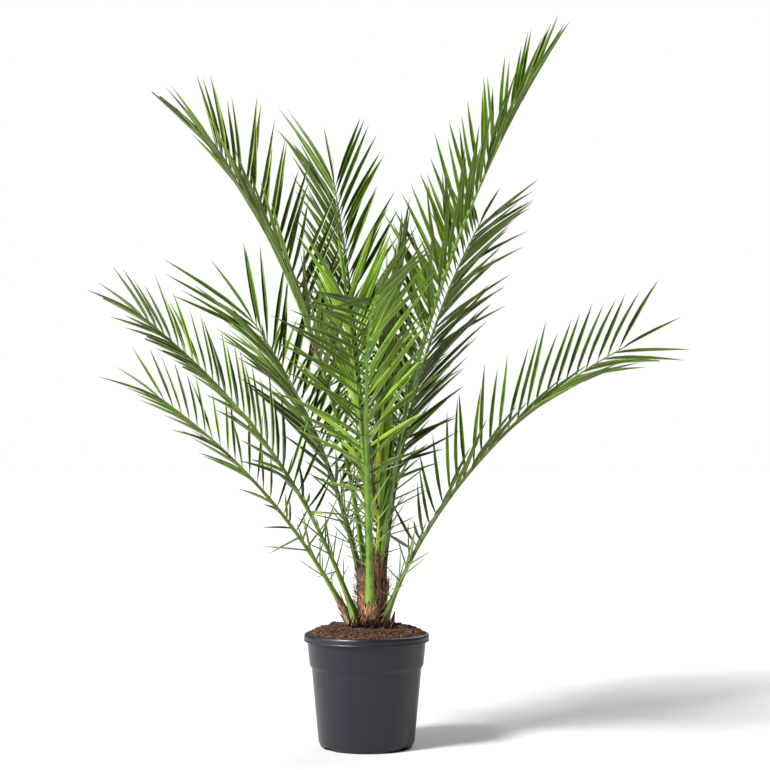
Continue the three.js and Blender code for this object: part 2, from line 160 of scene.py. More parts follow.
def finish_with(tree, shader, colour, roughness, height, strength, distance):
    """Joins colour, roughness and a bump of this height to the shader."""
    bump = add(tree, "ShaderNodeBump", {"Height": height, "Strength": strength, "Distance": distance})
    tree.links.new(colour, shader.inputs["Base Color"])
    tree.links.new(roughness, shader.inputs["Roughness"])
    tree.links.new(bump.outputs["Normal"], shader.inputs["Normal"])


def add_piece(name, points, faces, materials, finishes=None, uvs=None, crease=None):
    """A smooth mesh object from points and faces, with a material for each face and creased edges."""
    mesh = bpy.data.meshes.new(name)
    mesh.from_pydata(points, [], faces)
    for material in materials:
        mesh.materials.append(material)
    if finishes is not None:
        mesh.polygons.foreach_set("material_index", finishes)
    if uvs is not None:
        mesh.uv_layers.new(name="UVMap").data.foreach_set("uv", uvs)
    mesh.shade_smooth()
    if crease is not None:
        mesh.set_sharp_from_angle(angle=math.radians(crease))
    mesh.validate()
    return placed(name, mesh)


paper, tree, shader = new_finish("studio_paper", specular=0.2)
grain = speckle(tree, mapped(tree), 6.0)
finish_with(
    tree, shader,
    blend(tree, spread(tree, grain, 0.0, 0.15), FLOOR_COLOUR, FLOOR_GREYER),
    spread(tree, grain, 0.85, 0.95), grain, 0.02, 0.001,
)
floor_corners = [(x * FLOOR_HALF, y * FLOOR_HALF, 0.0) for x, y in [(-1, -1), (1, -1), (1, 1), (-1, 1)]]
floor = add_piece("floor", floor_corners, [(0, 1, 2, 3)], [paper])

world = bpy.data.worlds.new("studio_sky")
world.use_nodes = True
sky = world.node_tree.nodes["Background"]
sky.inputs["Color"].default_value = (1.0, 1.0, 1.0, 1.0)
seen = add(world.node_tree, "ShaderNodeLightPath").outputs["Is Camera Ray"]
brightness = spread(world.node_tree, seen, SKY_BRIGHTNESS, BACKGROUND_BRIGHTNESS)
world.node_tree.links.new(brightness, sky.inputs["Strength"])
bpy.context.scene.world = world
bpy.context.scene.view_settings.view_transform = "Standard"

for name, source, strength, width in LIGHTS:
    light_data = bpy.data.lights.new(name, "SUN")
    light_data.energy = strength
    light_data.angle = math.radians(width)
    light = placed(name, light_data)
    light.rotation_euler = (-Vector(source)).to_track_quat("-Z", "Y").to_euler()


# The pot
# A 24 cm nursery pot, moulded in anthracite plastic in one piece: a tapered body, a wider collar
# above a step, a rolled rim with a sharp lower edge, and four drain notches in the bottom edge.

RIM_RADIUS = 0.120
POT_HEIGHT = 0.215
RIM_DEPTH = 0.014
COLLAR_RADIUS = 0.1135
COLLAR_FOOT_RADIUS = 0.1085
COLLAR_FOOT_HEIGHT = 0.155
BODY_RADIUS = 0.1045
BODY_HEIGHT = 0.149
BODY_FOOT_RADIUS = 0.0915
BEVEL_HEIGHT = 0.010
FOOT_RADIUS = 0.086
POT_WALL = 0.002
POT_SEGMENTS = 144
NOTCH_TURNS = [36.5, 143.5, 216.5, 323.5]
NOTCH_RADIUS = 0.016
NOTCH_HEIGHT = 0.0070
NOTCH_DEPTH = 0.016
NOTCH_SEGMENTS = 32
POT_DARK = (0.006, 0.006, 0.012)
POT_LIGHT = (0.012, 0.012, 0.021)
POT_DUST = (0.085, 0.072, 0.060)
# The heights between which dust gathers more and more towards the rim
DUST_FROM = 0.204
DUST_TO = 0.216
POT_CREASE = 32


def worked(tree, operation, *values):
    """These values put together by one operation."""
    return add(tree, "ShaderNodeMath", dict(enumerate(values)), operation=operation).outputs[0]


def part_of(tree, vector, axis):
    """The X, Y or Z part of a vector."""
    return add(tree, "ShaderNodeSeparateXYZ", {"Vector": vector}).outputs[axis]


def rounded(corners, steps=4):
    """A profile through (radius, height, cut) corners, each rounded where its cut isn't nought."""
    points = []
    for i, (radius, height, cut) in enumerate(corners):
        here = Vector((radius, height))
        if cut == 0:
            points.append(here)
            continue
        start = here + (Vector(corners[i - 1][:2]) - here).normalized() * cut
        end = here + (Vector(corners[i + 1][:2]) - here).normalized() * cut
        for k in range(steps + 1):
            way = k / steps
            points.append(start * (1 - way) ** 2 + here * 2 * way * (1 - way) + end * way ** 2)
    return points


def turned(profile, segments, shift=0.0):
    """Points and faces of a profile turned about a vertical axis at x = shift, from pole to pole."""
    points = [(shift, 0.0, profile[0][1])]
    for radius, height in profile[1:-1]:
        for k in range(segments):
            angle = 2 * math.pi * k / segments
            points.append((shift + radius * math.cos(angle), radius * math.sin(angle), height))
    points.append((shift, 0.0, profile[-1][1]))
    faces = []
    for k in range(segments):
        after = (k + 1) % segments
        faces.append((0, 1 + after, 1 + k))
        for j in range(len(profile) - 3):
            low = 1 + j * segments
            high = low + segments
            faces.append((low + k, low + after, high + after, high + k))
        top = 1 + (len(profile) - 3) * segments
        faces.append((top + k, top + after, len(points) - 1))
    return points, faces


def baked(piece):
    """A plain mesh object in place of this one, with its modifiers applied."""
    evaluated = piece.evaluated_get(bpy.context.evaluated_depsgraph_get())
    mesh = bpy.data.meshes.new_from_object(evaluated)
    name = piece.name
    bpy.data.objects.remove(piece)
    mesh.name = name
    return placed(name, mesh)


pot_plastic, tree, shader = new_finish("anthracite_plastic", specular=0.38)
place = mapped(tree)
cloud = speckle(tree, place, 14.0, 3.0)
streaks = speckle(tree, mapped(tree, (90.0, 90.0, 3.0)), 1.0, 2.0)
grain = speckle(tree, place, 1400.0, 2.0)
near_rim = spread(tree, part_of(tree, place, "Z"), 0.0, 1.0, DUST_FROM, DUST_TO)
dusty = worked(tree, "MULTIPLY", near_rim, speckle(tree, place, 160.0, 5.0, 0.7))
dust = spread(tree, dusty, 0.0, 0.6, 0.42, 0.70)
plastic = blend(tree, spread(tree, cloud, 0.2, 0.8), POT_DARK, POT_LIGHT)
streaked = blend(tree, spread(tree, streaks, 0.0, 0.35), plastic, POT_LIGHT)
finish_with(
    tree, shader,
    blend(tree, dust, streaked, POT_DUST),
    spread(tree, worked(tree, "MULTIPLY", cloud, streaks), 0.32, 0.52),
    grain, 0.10, 0.0002,
)

rim_foot = POT_HEIGHT - RIM_DEPTH
# Each corner of the wall, up its outside and down its inside: radius, height and size of its rounding
pot_profile = rounded([
    (0.0, 0.0, 0),
    (FOOT_RADIUS, 0.0, 0.0012),
    (BODY_FOOT_RADIUS, BEVEL_HEIGHT, 0.0030),
    (BODY_RADIUS, BODY_HEIGHT, 0.0016),
    (COLLAR_FOOT_RADIUS, COLLAR_FOOT_HEIGHT, 0.0020),
    (COLLAR_RADIUS - 0.0004, rim_foot - 0.001, 0.0008),
    (RIM_RADIUS - 0.0002, rim_foot, 0.0005),
    (RIM_RADIUS - 0.0002, rim_foot + 0.0014, 0.0005),
    (RIM_RADIUS - 0.0010, rim_foot + 0.0026, 0.0008),
    (RIM_RADIUS - 0.0006, POT_HEIGHT - 0.004, 0.0030),
    (RIM_RADIUS - 0.0034, POT_HEIGHT, 0.0020),
    (COLLAR_RADIUS - POT_WALL + 0.0005, POT_HEIGHT, 0.0014),
    (COLLAR_RADIUS - POT_WALL, rim_foot, 0.0012),
    (COLLAR_FOOT_RADIUS - POT_WALL, COLLAR_FOOT_HEIGHT, 0),
    (BODY_RADIUS - POT_WALL, BODY_HEIGHT, 0),
    (BODY_FOOT_RADIUS - POT_WALL, BEVEL_HEIGHT, 0),
    (FOOT_RADIUS - POT_WALL, POT_WALL, 0),
    (0.0, POT_WALL, 0),
])
pot = add_piece("nursery_pot", *turned(pot_profile, POT_SEGMENTS), [pot_plastic])

notch_points = []
notch_faces = []
for notch_turn in NOTCH_TURNS:
    angle = math.radians(notch_turn)
    outwards = Vector((math.cos(angle), math.sin(angle), 0.0))
    sideways = Vector((-math.sin(angle), math.cos(angle), 0.0))
    first = len(notch_points)
    for distance in (FOOT_RADIUS - NOTCH_DEPTH / 4, FOOT_RADIUS + NOTCH_DEPTH * 3 / 4):
        for k in range(NOTCH_SEGMENTS):
            turn = 2 * math.pi * k / NOTCH_SEGMENTS
            side = sideways * NOTCH_RADIUS * math.cos(turn)
            rise = Vector((0.0, 0.0, NOTCH_HEIGHT * math.sin(turn)))
            notch_points.append(outwards * distance + side + rise)
    ring = [first + k for k in range(NOTCH_SEGMENTS)]
    notch_faces.append(ring[::-1])
    notch_faces.append([k + NOTCH_SEGMENTS for k in ring])
    for k in range(NOTCH_SEGMENTS):
        a = ring[k]
        b = ring[(k + 1) % NOTCH_SEGMENTS]
        notch_faces.append((a, b, b + NOTCH_SEGMENTS, a + NOTCH_SEGMENTS))
notches = add_piece("notches", notch_points, notch_faces, [pot_plastic])
cut = pot.modifiers.new("notches", "BOOLEAN")
cut.operation = "DIFFERENCE"
cut.solver = "EXACT"
cut.object = notches
pot = baked(pot)
bpy.data.objects.remove(notches)
pot.data.shade_smooth()
pot.data.set_sharp_from_angle(angle=math.radians(POT_CREASE))
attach(pot, "root")
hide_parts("pot")


# The compost
# Peat and bark that fills the pot to just under its rim and is heaped round the palm's foot. Its
# surface is lumpy, and loose crumbs, lighter flecks and bits of bark lie on it.

SOIL_TOP = 0.230
SOIL_RADII = [0.062, 0.083, 0.100, 0.1115]
SOIL_HEIGHTS = [0.230, 0.2255, 0.2195, 0.2115]
SOIL_GAP = 0.0003
SOIL_RINGS = 60
SOIL_SEGMENTS = 180
# How far below its edge its smooth side ends, and how far below it the rough surface starts
SOIL_SIDE_BELOW = 0.006
SOIL_ROUGH_BELOW = 0.001
# The height of its relief, the shares of it that the lumps and the grit make, and how far it sinks
SOIL_RELIEF = 0.0085
LUMP_SHARE = 0.55
GRIT_SHARE = 0.25
SOIL_SINK = 0.0016
LUMPS_IN_METRE = 55.0
GRIT_IN_METRE = 420.0
SOIL_BLACK = (0.009, 0.005, 0.004)
SOIL_BROWN = (0.110, 0.052, 0.026)
SOIL_RED = (0.20, 0.095, 0.055)
FLECK_BROWN = (0.16, 0.09, 0.05)
FLECK_TAN = (0.42, 0.28, 0.17)
BIT_BLACK = (0.012, 0.007, 0.005)
BIT_BROWN = (0.11, 0.055, 0.032)
# How far the loose bits may tilt, and how much the surface has to face up where they lie
BIT_TILT = 0.5
BIT_LEAST_UPWARD = 0.5
# Each kind of loose bit: its name, count for each square metre, smallest and largest radius,
# how flat and how long it is, and its two colours
SOIL_BITS = [
    ("crumbs", 90000.0, 0.0008, 0.0024, (1.0, 0.85, 0.7), SOIL_BLACK, SOIL_RED),
    ("clods", 24000.0, 0.0022, 0.0052, (1.0, 0.80, 0.65), SOIL_BLACK, SOIL_BROWN),
    ("flecks", 14000.0, 0.0009, 0.0022, (1.0, 0.8, 0.6), FLECK_BROWN, FLECK_TAN),
    ("bark_bits", 9000.0, 0.0022, 0.0060, (1.0, 0.35, 0.22), BIT_BLACK, BIT_BROWN),
]


def heap_height(radius):
    """How high the compost stands at this distance from the pot's axis."""
    return float(np.interp(radius, SOIL_RADII, SOIL_HEIGHTS))


def crumbly(name, dark, light, scale):
    """A matt, rough, earthy finish between two colours."""
    material, tree, shader = new_finish(name, specular=0.25)
    place = mapped(tree)
    patch = speckle(tree, place, scale, 5.0, 0.7)
    grit = speckle(tree, place, scale * 9, 4.0, 0.7)
    finish_with(
        tree, shader,
        ramp(tree, patch, (0.36, dark), (0.64, light)),
        spread(tree, grit, 0.80, 0.98), grit, 0.8, 0.0006,
    )
    return material


inset = POT_WALL + SOIL_GAP
soil_profile = [
    (0.0, inset),
    (FOOT_RADIUS - inset, inset),
    (BODY_FOOT_RADIUS - inset, BEVEL_HEIGHT),
    (BODY_RADIUS - inset, BODY_HEIGHT),
    (COLLAR_FOOT_RADIUS - inset, COLLAR_FOOT_HEIGHT),
    (COLLAR_RADIUS - inset, SOIL_HEIGHTS[-1] - SOIL_SIDE_BELOW),
]
for j in range(SOIL_RINGS):
    radius = (COLLAR_RADIUS - inset) * (1 - j / SOIL_RINGS)
    soil_profile.append((radius, heap_height(radius)))
soil_profile.append((0.0, SOIL_TOP))
soil_points, soil_faces = turned(soil_profile, SOIL_SEGMENTS)
for i, (x, y, z) in enumerate(soil_points):
    if z >= SOIL_HEIGHTS[-1] - SOIL_ROUGH_BELOW:
        lump = noise.fractal(Vector((x, y, 0.0)) * LUMPS_IN_METRE, 0.7, 2.1, 4)
        grit = noise.noise(Vector((x, y, 3.0)) * GRIT_IN_METRE)
        height = z - SOIL_SINK + SOIL_RELIEF * LUMP_SHARE * lump + SOIL_RELIEF * GRIT_SHARE * grit
        soil_points[i] = (x, y, height)
compost_earth = crumbly("compost_earth", SOIL_BLACK, SOIL_BROWN, 150.0)
compost = add_piece("compost", soil_points, soil_faces, [compost_earth])


def pebble(tree):
    """The geometry outlet of a small ball."""
    return add(tree, "GeometryNodeMeshIcoSphere", {"Radius": 1.0, "Subdivisions": 1}).outputs["Mesh"]


def scaled(tree, vector, size):
    """A vector made longer or shorter by this size."""
    return add(tree, "ShaderNodeVectorMath", {
        0: vector, "Scale": size,
    }, operation="SCALE").outputs["Vector"]


def strewn_tree(name, bit_of, tilt, least_upward):
    """Nodes that strew small shapes over a surface, turned at random, where it faces up enough."""
    tree = bpy.data.node_groups.new(name, "GeometryNodeTree")
    tree.interface.new_socket("Geometry", in_out="INPUT", socket_type="NodeSocketGeometry")
    for size_name in ("Density", "Smallest", "Largest", "Ragged"):
        tree.interface.new_socket(size_name, in_out="INPUT", socket_type="NodeSocketFloat")
    tree.interface.new_socket("Shape", in_out="INPUT", socket_type="NodeSocketVector")
    tree.interface.new_socket("Seed", in_out="INPUT", socket_type="NodeSocketInt")
    tree.interface.new_socket("Material", in_out="INPUT", socket_type="NodeSocketMaterial")
    tree.interface.new_socket("Geometry", in_out="OUTPUT", socket_type="NodeSocketGeometry")
    given = tree.nodes.new("NodeGroupInput").outputs
    upward = part_of(tree, add(tree, "GeometryNodeInputNormal").outputs["Normal"], "Z")
    faces_up = add(tree, "FunctionNodeCompare", {0: upward, 1: least_upward}, operation="GREATER_THAN")
    points = add(tree, "GeometryNodeDistributePointsOnFaces", {
        "Mesh": given["Geometry"],
        "Selection": faces_up.outputs[0],
        "Density": given["Density"],
        "Seed": given["Seed"],
    })
    turn = add(tree, "FunctionNodeRandomValue", {
        0: (-tilt, -tilt, 0.0), 1: (tilt, tilt, 2 * math.pi), "Seed": given["Seed"],
    }, data_type="FLOAT_VECTOR")
    size = add(tree, "FunctionNodeRandomValue", {
        2: given["Smallest"], 3: given["Largest"], "Seed": given["Seed"],
    }, data_type="FLOAT")
    scale = scaled(tree, given["Shape"], size.outputs[1])
    bits = add(tree, "GeometryNodeInstanceOnPoints", {
        "Points": points.outputs["Points"],
        "Instance": bit_of(tree),
        "Rotation": turn.outputs[0],
        "Scale": scale,
    })
    real = add(tree, "GeometryNodeRealizeInstances", {"Geometry": bits.outputs["Instances"]})
    ragged = add(tree, "ShaderNodeTexNoise", {"Scale": 600.0, "Detail": 1.0})
    centred = add(tree, "ShaderNodeVectorMath", {
        0: ragged.outputs["Color"], 1: (0.5, 0.5, 0.5),
    }, operation="SUBTRACT")
    moved = add(tree, "GeometryNodeSetPosition", {
        "Geometry": real.outputs["Geometry"],
        "Offset": scaled(tree, centred.outputs["Vector"], given["Ragged"]),
    })
    coloured = add(tree, "GeometryNodeSetMaterial", {
        "Geometry": moved.outputs["Geometry"], "Material": given["Material"],
    })
    add(tree, "NodeGroupOutput", {"Geometry": coloured.outputs["Geometry"]})
    return tree


def grown_on(surface, name, tree, values):
    """The plain mesh that a node tree makes on a surface, with its inputs set by name."""
    piece = placed(name, surface.data.copy())
    modifier = piece.modifiers.new(name, "NODES")
    modifier.node_group = tree
    for socket in tree.interface.items_tree:
        if socket.in_out == "INPUT" and socket.name in values:
            modifier[socket.identifier] = values[socket.name]
    return baked(piece)


soil_pieces = [compost]
loose_bits = strewn_tree("loose_bits", pebble, BIT_TILT, BIT_LEAST_UPWARD)
for seed, (name, density, smallest, largest, shape, dark, light) in enumerate(SOIL_BITS):
    soil_pieces.append(grown_on(compost, name, loose_bits, {
        "Density": density,
        "Smallest": smallest,
        "Largest": largest,
        "Ragged": largest,
        "Shape": shape,
        "Seed": seed,
        "Material": crumbly(name + "_earth", dark, light, 320.0),
    }))
for piece in soil_pieces:
    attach(piece, "root")
    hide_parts("soil")


# The trunk
# A short woody stem with a flared foot, dark and matted with fibre, which the sheaths of the leaves
# hide. It stands on the heaped compost.

TRUNK_X = 0.008
TRUNK_FOOT = SOIL_TOP + 0.0003
TRUNK_HEIGHT = 0.140
TRUNK_HEIGHTS = [0.0, 0.009, 0.026, 0.084, 0.123, 0.140]
TRUNK_RADII = [0.030, 0.026, 0.0225, 0.0205, 0.017, 0.008]
TRUNK_BELOW = 0.006
TRUNK_INSET = 0.0015
TRUNK_RINGS = 56
TRUNK_SEGMENTS = 72
BARK_FIBRE_RELIEF = 0.0016
BARK_KNOT_RELIEF = 0.0022
# How many fibres lie in a metre across and along the stem, and how many knots
FIBRES_ACROSS = 420.0
FIBRES_ALONG = 40.0
KNOTS_IN_METRE = 90.0
BARK_BLACK = (0.016, 0.009, 0.007)
BARK_DARK = (0.040, 0.019, 0.013)
BARK_RED = (0.170, 0.070, 0.042)
BARK_TAN = (0.42, 0.26, 0.155)


def chance(a, b, c, d=0):
    """A repeatable number from 0 to 1 for these whole numbers."""
    wave = math.sin(a * 12.9898 + b * 78.233 + c * 37.719 + d * 4.581 + 1.7) * 43758.5453
    return wave - math.floor(wave)


def trunk_radius(z):
    """The trunk's radius at this height."""
    return float(np.interp(z - TRUNK_FOOT, TRUNK_HEIGHTS, TRUNK_RADII))


def fibrous(name, dark, middle, light):
    """A matt finish of long upright fibres between three colours."""
    material, tree, shader = new_finish(name, specular=0.20)
    fibre = speckle(tree, mapped(tree, (340.0, 340.0, 24.0)), 1.0, 4.0, 0.65)
    patch = speckle(tree, mapped(tree, (1.0, 1.0, 0.5)), 130.0, 4.0, 0.65)
    both = worked(tree, "ADD", fibre, patch)
    finish_with(
        tree, shader,
        ramp(tree, spread(tree, both, 0.0, 0.5), (0.44, dark), (0.50, middle), (0.56, light)),
        spread(tree, fibre, 0.72, 0.95), fibre, 0.9, 0.0012,
    )
    return material


bark_dark = fibrous("old_bark", BARK_BLACK, BARK_DARK, BARK_RED)

trunk_profile = [(0.0, TRUNK_FOOT - TRUNK_BELOW)]
for j in range(TRUNK_RINGS + 1):
    z = TRUNK_FOOT - TRUNK_BELOW + (TRUNK_HEIGHT + TRUNK_BELOW) * j / TRUNK_RINGS
    trunk_profile.append((trunk_radius(z) - TRUNK_INSET, z))
trunk_profile.append((0.0, TRUNK_FOOT + TRUNK_HEIGHT))
trunk_points, trunk_faces = turned(trunk_profile, TRUNK_SEGMENTS, TRUNK_X)
for i, (x, y, z) in enumerate(trunk_points):
    away = Vector((x - TRUNK_X, y, 0.0))
    if away.length > 1e-4:
        fibre_place = Vector((x * FIBRES_ACROSS, y * FIBRES_ACROSS, z * FIBRES_ALONG))
        fibre = noise.fractal(fibre_place, 0.8, 2.0, 3)
        knot = noise.noise(Vector((x, y, z)) * KNOTS_IN_METRE)
        away *= 1 + (BARK_FIBRE_RELIEF * fibre + BARK_KNOT_RELIEF * knot) / away.length
        trunk_points[i] = (TRUNK_X + away.x, away.y, z)
trunk = add_piece("trunk_stem", trunk_points, trunk_faces, [bark_dark])
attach(trunk, "root")
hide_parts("trunk")


# The fronds
# Thirteen leaves, each a bare stalk and a rib with leaflets along both sides. One row for each: lengths
# in metres and angles in degrees, as the plant stands in the photograph, and full at the back too.

# "seat", "out" and "up" place its foot round the trunk's axis, out from it and above the compost.
# "turn" is the way that it leans, "lean" how far from upright at its foot, and "droop" how much
# further at its tip, by the power "bend" of the way along it; "sway" turns it sideways on the way,
# and "roll" turns its blade about its rib, with "twist" more at its tip. "bare" is the share of its
# length with no leaflets.
# "leaflet" is their length, "tip" the share of it at the frond's tip and "pitch" the distance between
# pairs. "splay" is their angle to the rib at the blade's foot, "close" at its tip, and "rise" how far
# they stand up in a V. "loose" is how much they stray from that, "girth" how thick the stalk and rib
# are against the thickest, and "tint" what its green is like.
FROND_FIELDS = [
    "name", "seat", "turn", "out", "up", "lean", "droop", "bend", "sway", "roll", "twist",
    "length", "bare", "leaflet", "tip", "pitch", "splay", "close", "rise", "loose",
    "girth", "tint",
]
FRONDS = [
    ["left_high", 190, 188, 0.011, 0.100, 7, 28, 1.2, 0, 38, 0,
     0.866, 0.34, 0.196, 0.95, 0.0155, 50, 26, 44, 1.0, 0.90, "pale"],
    ["left_mid", 150, 150, 0.020, 0.080, 12.5, 25, 0.9, 6, 6, 40,
     0.570, 0.32, 0.204, 1.00, 0.020, 46, 26, 22, 1.5, 0.70, "deep"],
    ["left_wide", 200, 196, 0.029, 0.008, 18.5, 34, 1.0, -2, 34, 0,
     0.708, 0.30, 0.172, 0.80, 0.0175, 50, 32, 14, 0.8, 1.00, "pale"],
    ["left_low", 170, 184, 0.042, 0.008, 26.5, 28, 1.0, 0, 30, 14,
     0.565, 0.34, 0.128, 1.00, 0.020, 46, 26, 24, 1.3, 0.90, "pale"],
    ["back_upright", 100, 104, 0.014, 0.110, 8, 24, 1.0, 3, 0, 0,
     0.838, 0.34, 0.200, 1.04, 0.016, 34, 22, 26, 1.0, 0.85, "deep"],
    ["right_high", 350, 350, 0.013, 0.100, 7.4, 23, 1.2, 0, -30, 0,
     0.995, 0.33, 0.200, 0.70, 0.018, 50, 19, 46, 1.0, 1.20, "bright"],
    ["right_back", 20, 58, 0.022, 0.075, 10.5, 35, 1.0, 0, -12, 0,
     0.850, 0.26, 0.194, 0.85, 0.016, 43, 30, 16, 1.3, 0.80, "dusk"],
    ["right_wide", 322, 348, 0.030, 0.008, 20.3, 42, 1.0, 4, -24, -34,
     0.700, 0.20, 0.182, 0.86, 0.0235, 44, 36, 34, 0.8, 1.05, "dull"],
    ["front", 268, 262, 0.030, 0.008, 3, 76, 1.3, 15, -5, -34,
     0.775, 0.31, 0.200, 0.85, 0.028, 54, 34, 20, 1.3, 1.00, "bright"],
    ["inner_left", 262, 245, 0.010, 0.125, 7, 10, 1.0, 0, 0, 0,
     0.500, 0.36, 0.215, 0.80, 0.017, 40, 28, 24, 1.3, 0.60, "young"],
    ["spear", 318, 10, 0.014, 0.125, 3, 4, 1.0, 0, 0, 0,
     0.520, 0.14, 0.250, 0.70, 0.013, 8, 6, 30, 1.0, 1.00, "furled"],
    ["back_low", 75, 80, 0.020, 0.045, 26, 40, 1.0, 0, 0, 0,
     0.680, 0.32, 0.170, 0.80, 0.020, 52, 24, 30, 1.5, 0.85, "deep"],
    ["back_left", 130, 122, 0.020, 0.055, 22, 36, 1.0, 0, 0, 0,
     0.660, 0.32, 0.170, 0.80, 0.020, 52, 24, 30, 1.5, 0.85, "fresh"],
]
LINE_STEPS = 24


def axes(turn, lean, roll):
    """The directions across, up from and along the face of a frond that leans this way."""
    a = math.radians(turn)
    b = math.radians(lean)
    r = math.radians(roll)
    along = np.array([math.sin(b) * math.cos(a), math.sin(b) * math.sin(a), math.cos(b)])
    face = np.array([-math.cos(b) * math.cos(a), -math.cos(b) * math.sin(a), math.sin(b)])
    side = np.array([-math.sin(a), math.cos(a), 0.0])
    across = side * math.cos(r) - face * math.sin(r)
    up = face * math.cos(r) + side * math.sin(r)
    return across, up, along


def axes_at(frond, share):
    """A frond's directions at a share of its length."""
    bent = frond["lean"] + frond["droop"] * max(share, 0.0) ** frond["bend"]
    rolled = frond["roll"] + frond["twist"] * max(share, 0.0) ** 2
    return axes(frond["turn"] + frond["sway"] * share, bent, rolled)


def centre_line(frond):
    """The points of a frond's centre line, in equal steps."""
    seat = math.radians(frond["seat"])
    points = [np.array([
        TRUNK_X + frond["out"] * math.cos(seat),
        frond["out"] * math.sin(seat),
        SOIL_TOP + frond["up"],
    ])]
    for i in range(LINE_STEPS):
        along = axes_at(frond, (i + 0.5) / LINE_STEPS)[2]
        points.append(points[i] + along * frond["length"] / LINE_STEPS)
    return points


def place_at(frond, share):
    """The centre of a frond's limb at a share of its length, and its directions there."""
    step = min(max(share * LINE_STEPS, 0.0), LINE_STEPS - 1e-6)
    i = int(step)
    centre = frond["line"][i] + (frond["line"][i + 1] - frond["line"][i]) * (step - i)
    across, up, along = axes_at(frond, share)
    if share < 0:
        centre = centre + along * frond["length"] * share
    return centre, across, up, along


fronds = [dict(zip(FROND_FIELDS, row)) for row in FRONDS]
for number, frond in enumerate(fronds):
    frond["number"] = number
    frond["line"] = centre_line(frond)
by_name = {frond["name"]: frond for frond in fronds}


# The stalks and ribs
# Each is one smooth green limb from the trunk to the frond's tip. Its foot is broad and clasps the
# trunk, its stalk is flat above and round below, and its rib thins to the tip.

STALK_HALF_WIDTH = 0.011
STALK_HALF_THICKNESS = 0.0075
BLADE_FOOT_HALF_WIDTH = 0.0052
BLADE_FOOT_HALF_THICKNESS = 0.0038
RIB_TIP_HALF_WIDTH = 0.0012
LIMB_SIDES = 14
LIMB_STEPS = 72
FOOT_SINK = 0.022
CLASP_WIDER = 0.55
CLASP_CURL = 0.007
CLASP_FADE = 0.030
# How much of its half thickness a limb keeps on its flat side, and how its rings crowd towards the foot
STALK_FLAT = 0.45
RIB_FLAT = 0.85
RING_CROWDING = 1.15
# The outer stalks, which stand on the compost, are thicker at the foot
OUTER_LEAST_UP = 0.040
OUTER_THICKER = 0.80
# Each tint's darker and lighter green
STALK_TINTS = {
    "bright": ((0.055, 0.140, 0.008), (0.245, 0.425, 0.046)),
    "fresh": ((0.080, 0.165, 0.010), (0.260, 0.400, 0.050)),
    "pale": ((0.062, 0.132, 0.009), (0.260, 0.400, 0.052)),
    "deep": ((0.036, 0.072, 0.006), (0.190, 0.270, 0.045)),
    "dull": ((0.040, 0.070, 0.008), (0.200, 0.265, 0.055)),
    "dusk": ((0.034, 0.056, 0.007), (0.165, 0.215, 0.042)),
    "young": ((0.110, 0.210, 0.010), (0.300, 0.450, 0.050)),
    "furled": ((0.400, 0.470, 0.015), (0.800, 0.800, 0.080)),
}
# How far up from its seat a stalk is brown, and those that differ
BROWN_LENGTH = 0.016
BROWN_LENGTHS = {"front": 0.028, "left_low": 0.050, "left_wide": 0.0, "right_wide": 0.0}
FOOT_DARK = (0.034, 0.016, 0.011)
FOOT_LIGHT = (0.42, 0.26, 0.17)
FOOT_EDGE = [0.014, 0.026]
FOOT_RAGGEDNESS = 0.040
LIMB_CREASE = 60


class Joined:
    """Many small shapes that become one mesh: their points, faces, finishes and UV places."""

    def __init__(self):
        self.points = []
        self.faces = []
        self.finishes = []
        self.uvs = []

    def put(self, points, faces, finishes, uvs):
        """Adds a shape, with a finish for each face and a UV place for each point."""
        first = len(self.points)
        self.points.extend(tuple(point) for point in points)
        for face, finish in zip(faces, finishes):
            self.faces.append([first + k for k in face])
            self.finishes.append(finish)
            for k in face:
                self.uvs.extend(uvs[k])

    def piece(self, name, materials, crease=None):
        """The mesh object of everything that was added."""
        return add_piece(name, self.points, self.faces, materials, self.finishes, self.uvs, crease)


def clasp_at(frond, share):
    """How much of the foot's clasp is left at a share of the frond's length, from 1 to 0."""
    return math.exp(-max(share, 0.0) * frond["length"] / CLASP_FADE)


def limb_size(frond, share):
    """The half width and half thickness of the stalk and rib at a share of the frond's length."""
    bare = frond["bare"]
    girth = frond["girth"]
    if share < bare:
        way = math.sqrt(max(share, 0.0) / bare)
        half_width = STALK_HALF_WIDTH * (1 - way) + BLADE_FOOT_HALF_WIDTH * way
        half_thickness = STALK_HALF_THICKNESS * (1 - way) + BLADE_FOOT_HALF_THICKNESS * way
        if frond["up"] < OUTER_LEAST_UP:
            half_thickness *= 1 + OUTER_THICKER * clasp_at(frond, share)
        return half_width * girth, half_thickness * girth
    way = (share - bare) / (1 - bare)
    half = BLADE_FOOT_HALF_WIDTH * girth * (1 - way) + RIB_TIP_HALF_WIDTH * way
    return half, min(half, BLADE_FOOT_HALF_THICKNESS * girth)


def limb_section(frond, share):
    """The outline of a frond's limb at a share of its length, flat above and round below."""
    centre, across, up, _ = place_at(frond, share)
    half_width, half_thickness = limb_size(frond, share)
    clasp = clasp_at(frond, share)
    half_width *= 1 + CLASP_WIDER * clasp
    flat = STALK_FLAT if share < frond["bare"] else RIB_FLAT
    ring = []
    for k in range(LIMB_SIDES):
        angle = 2 * math.pi * k / LIMB_SIDES
        x = math.cos(angle)
        y = math.sin(angle)
        if y > 0:
            y *= flat
        depth = half_thickness * y + CLASP_CURL * clasp * x * x
        ring.append(centre + across * half_width * x + up * depth)
    return ring


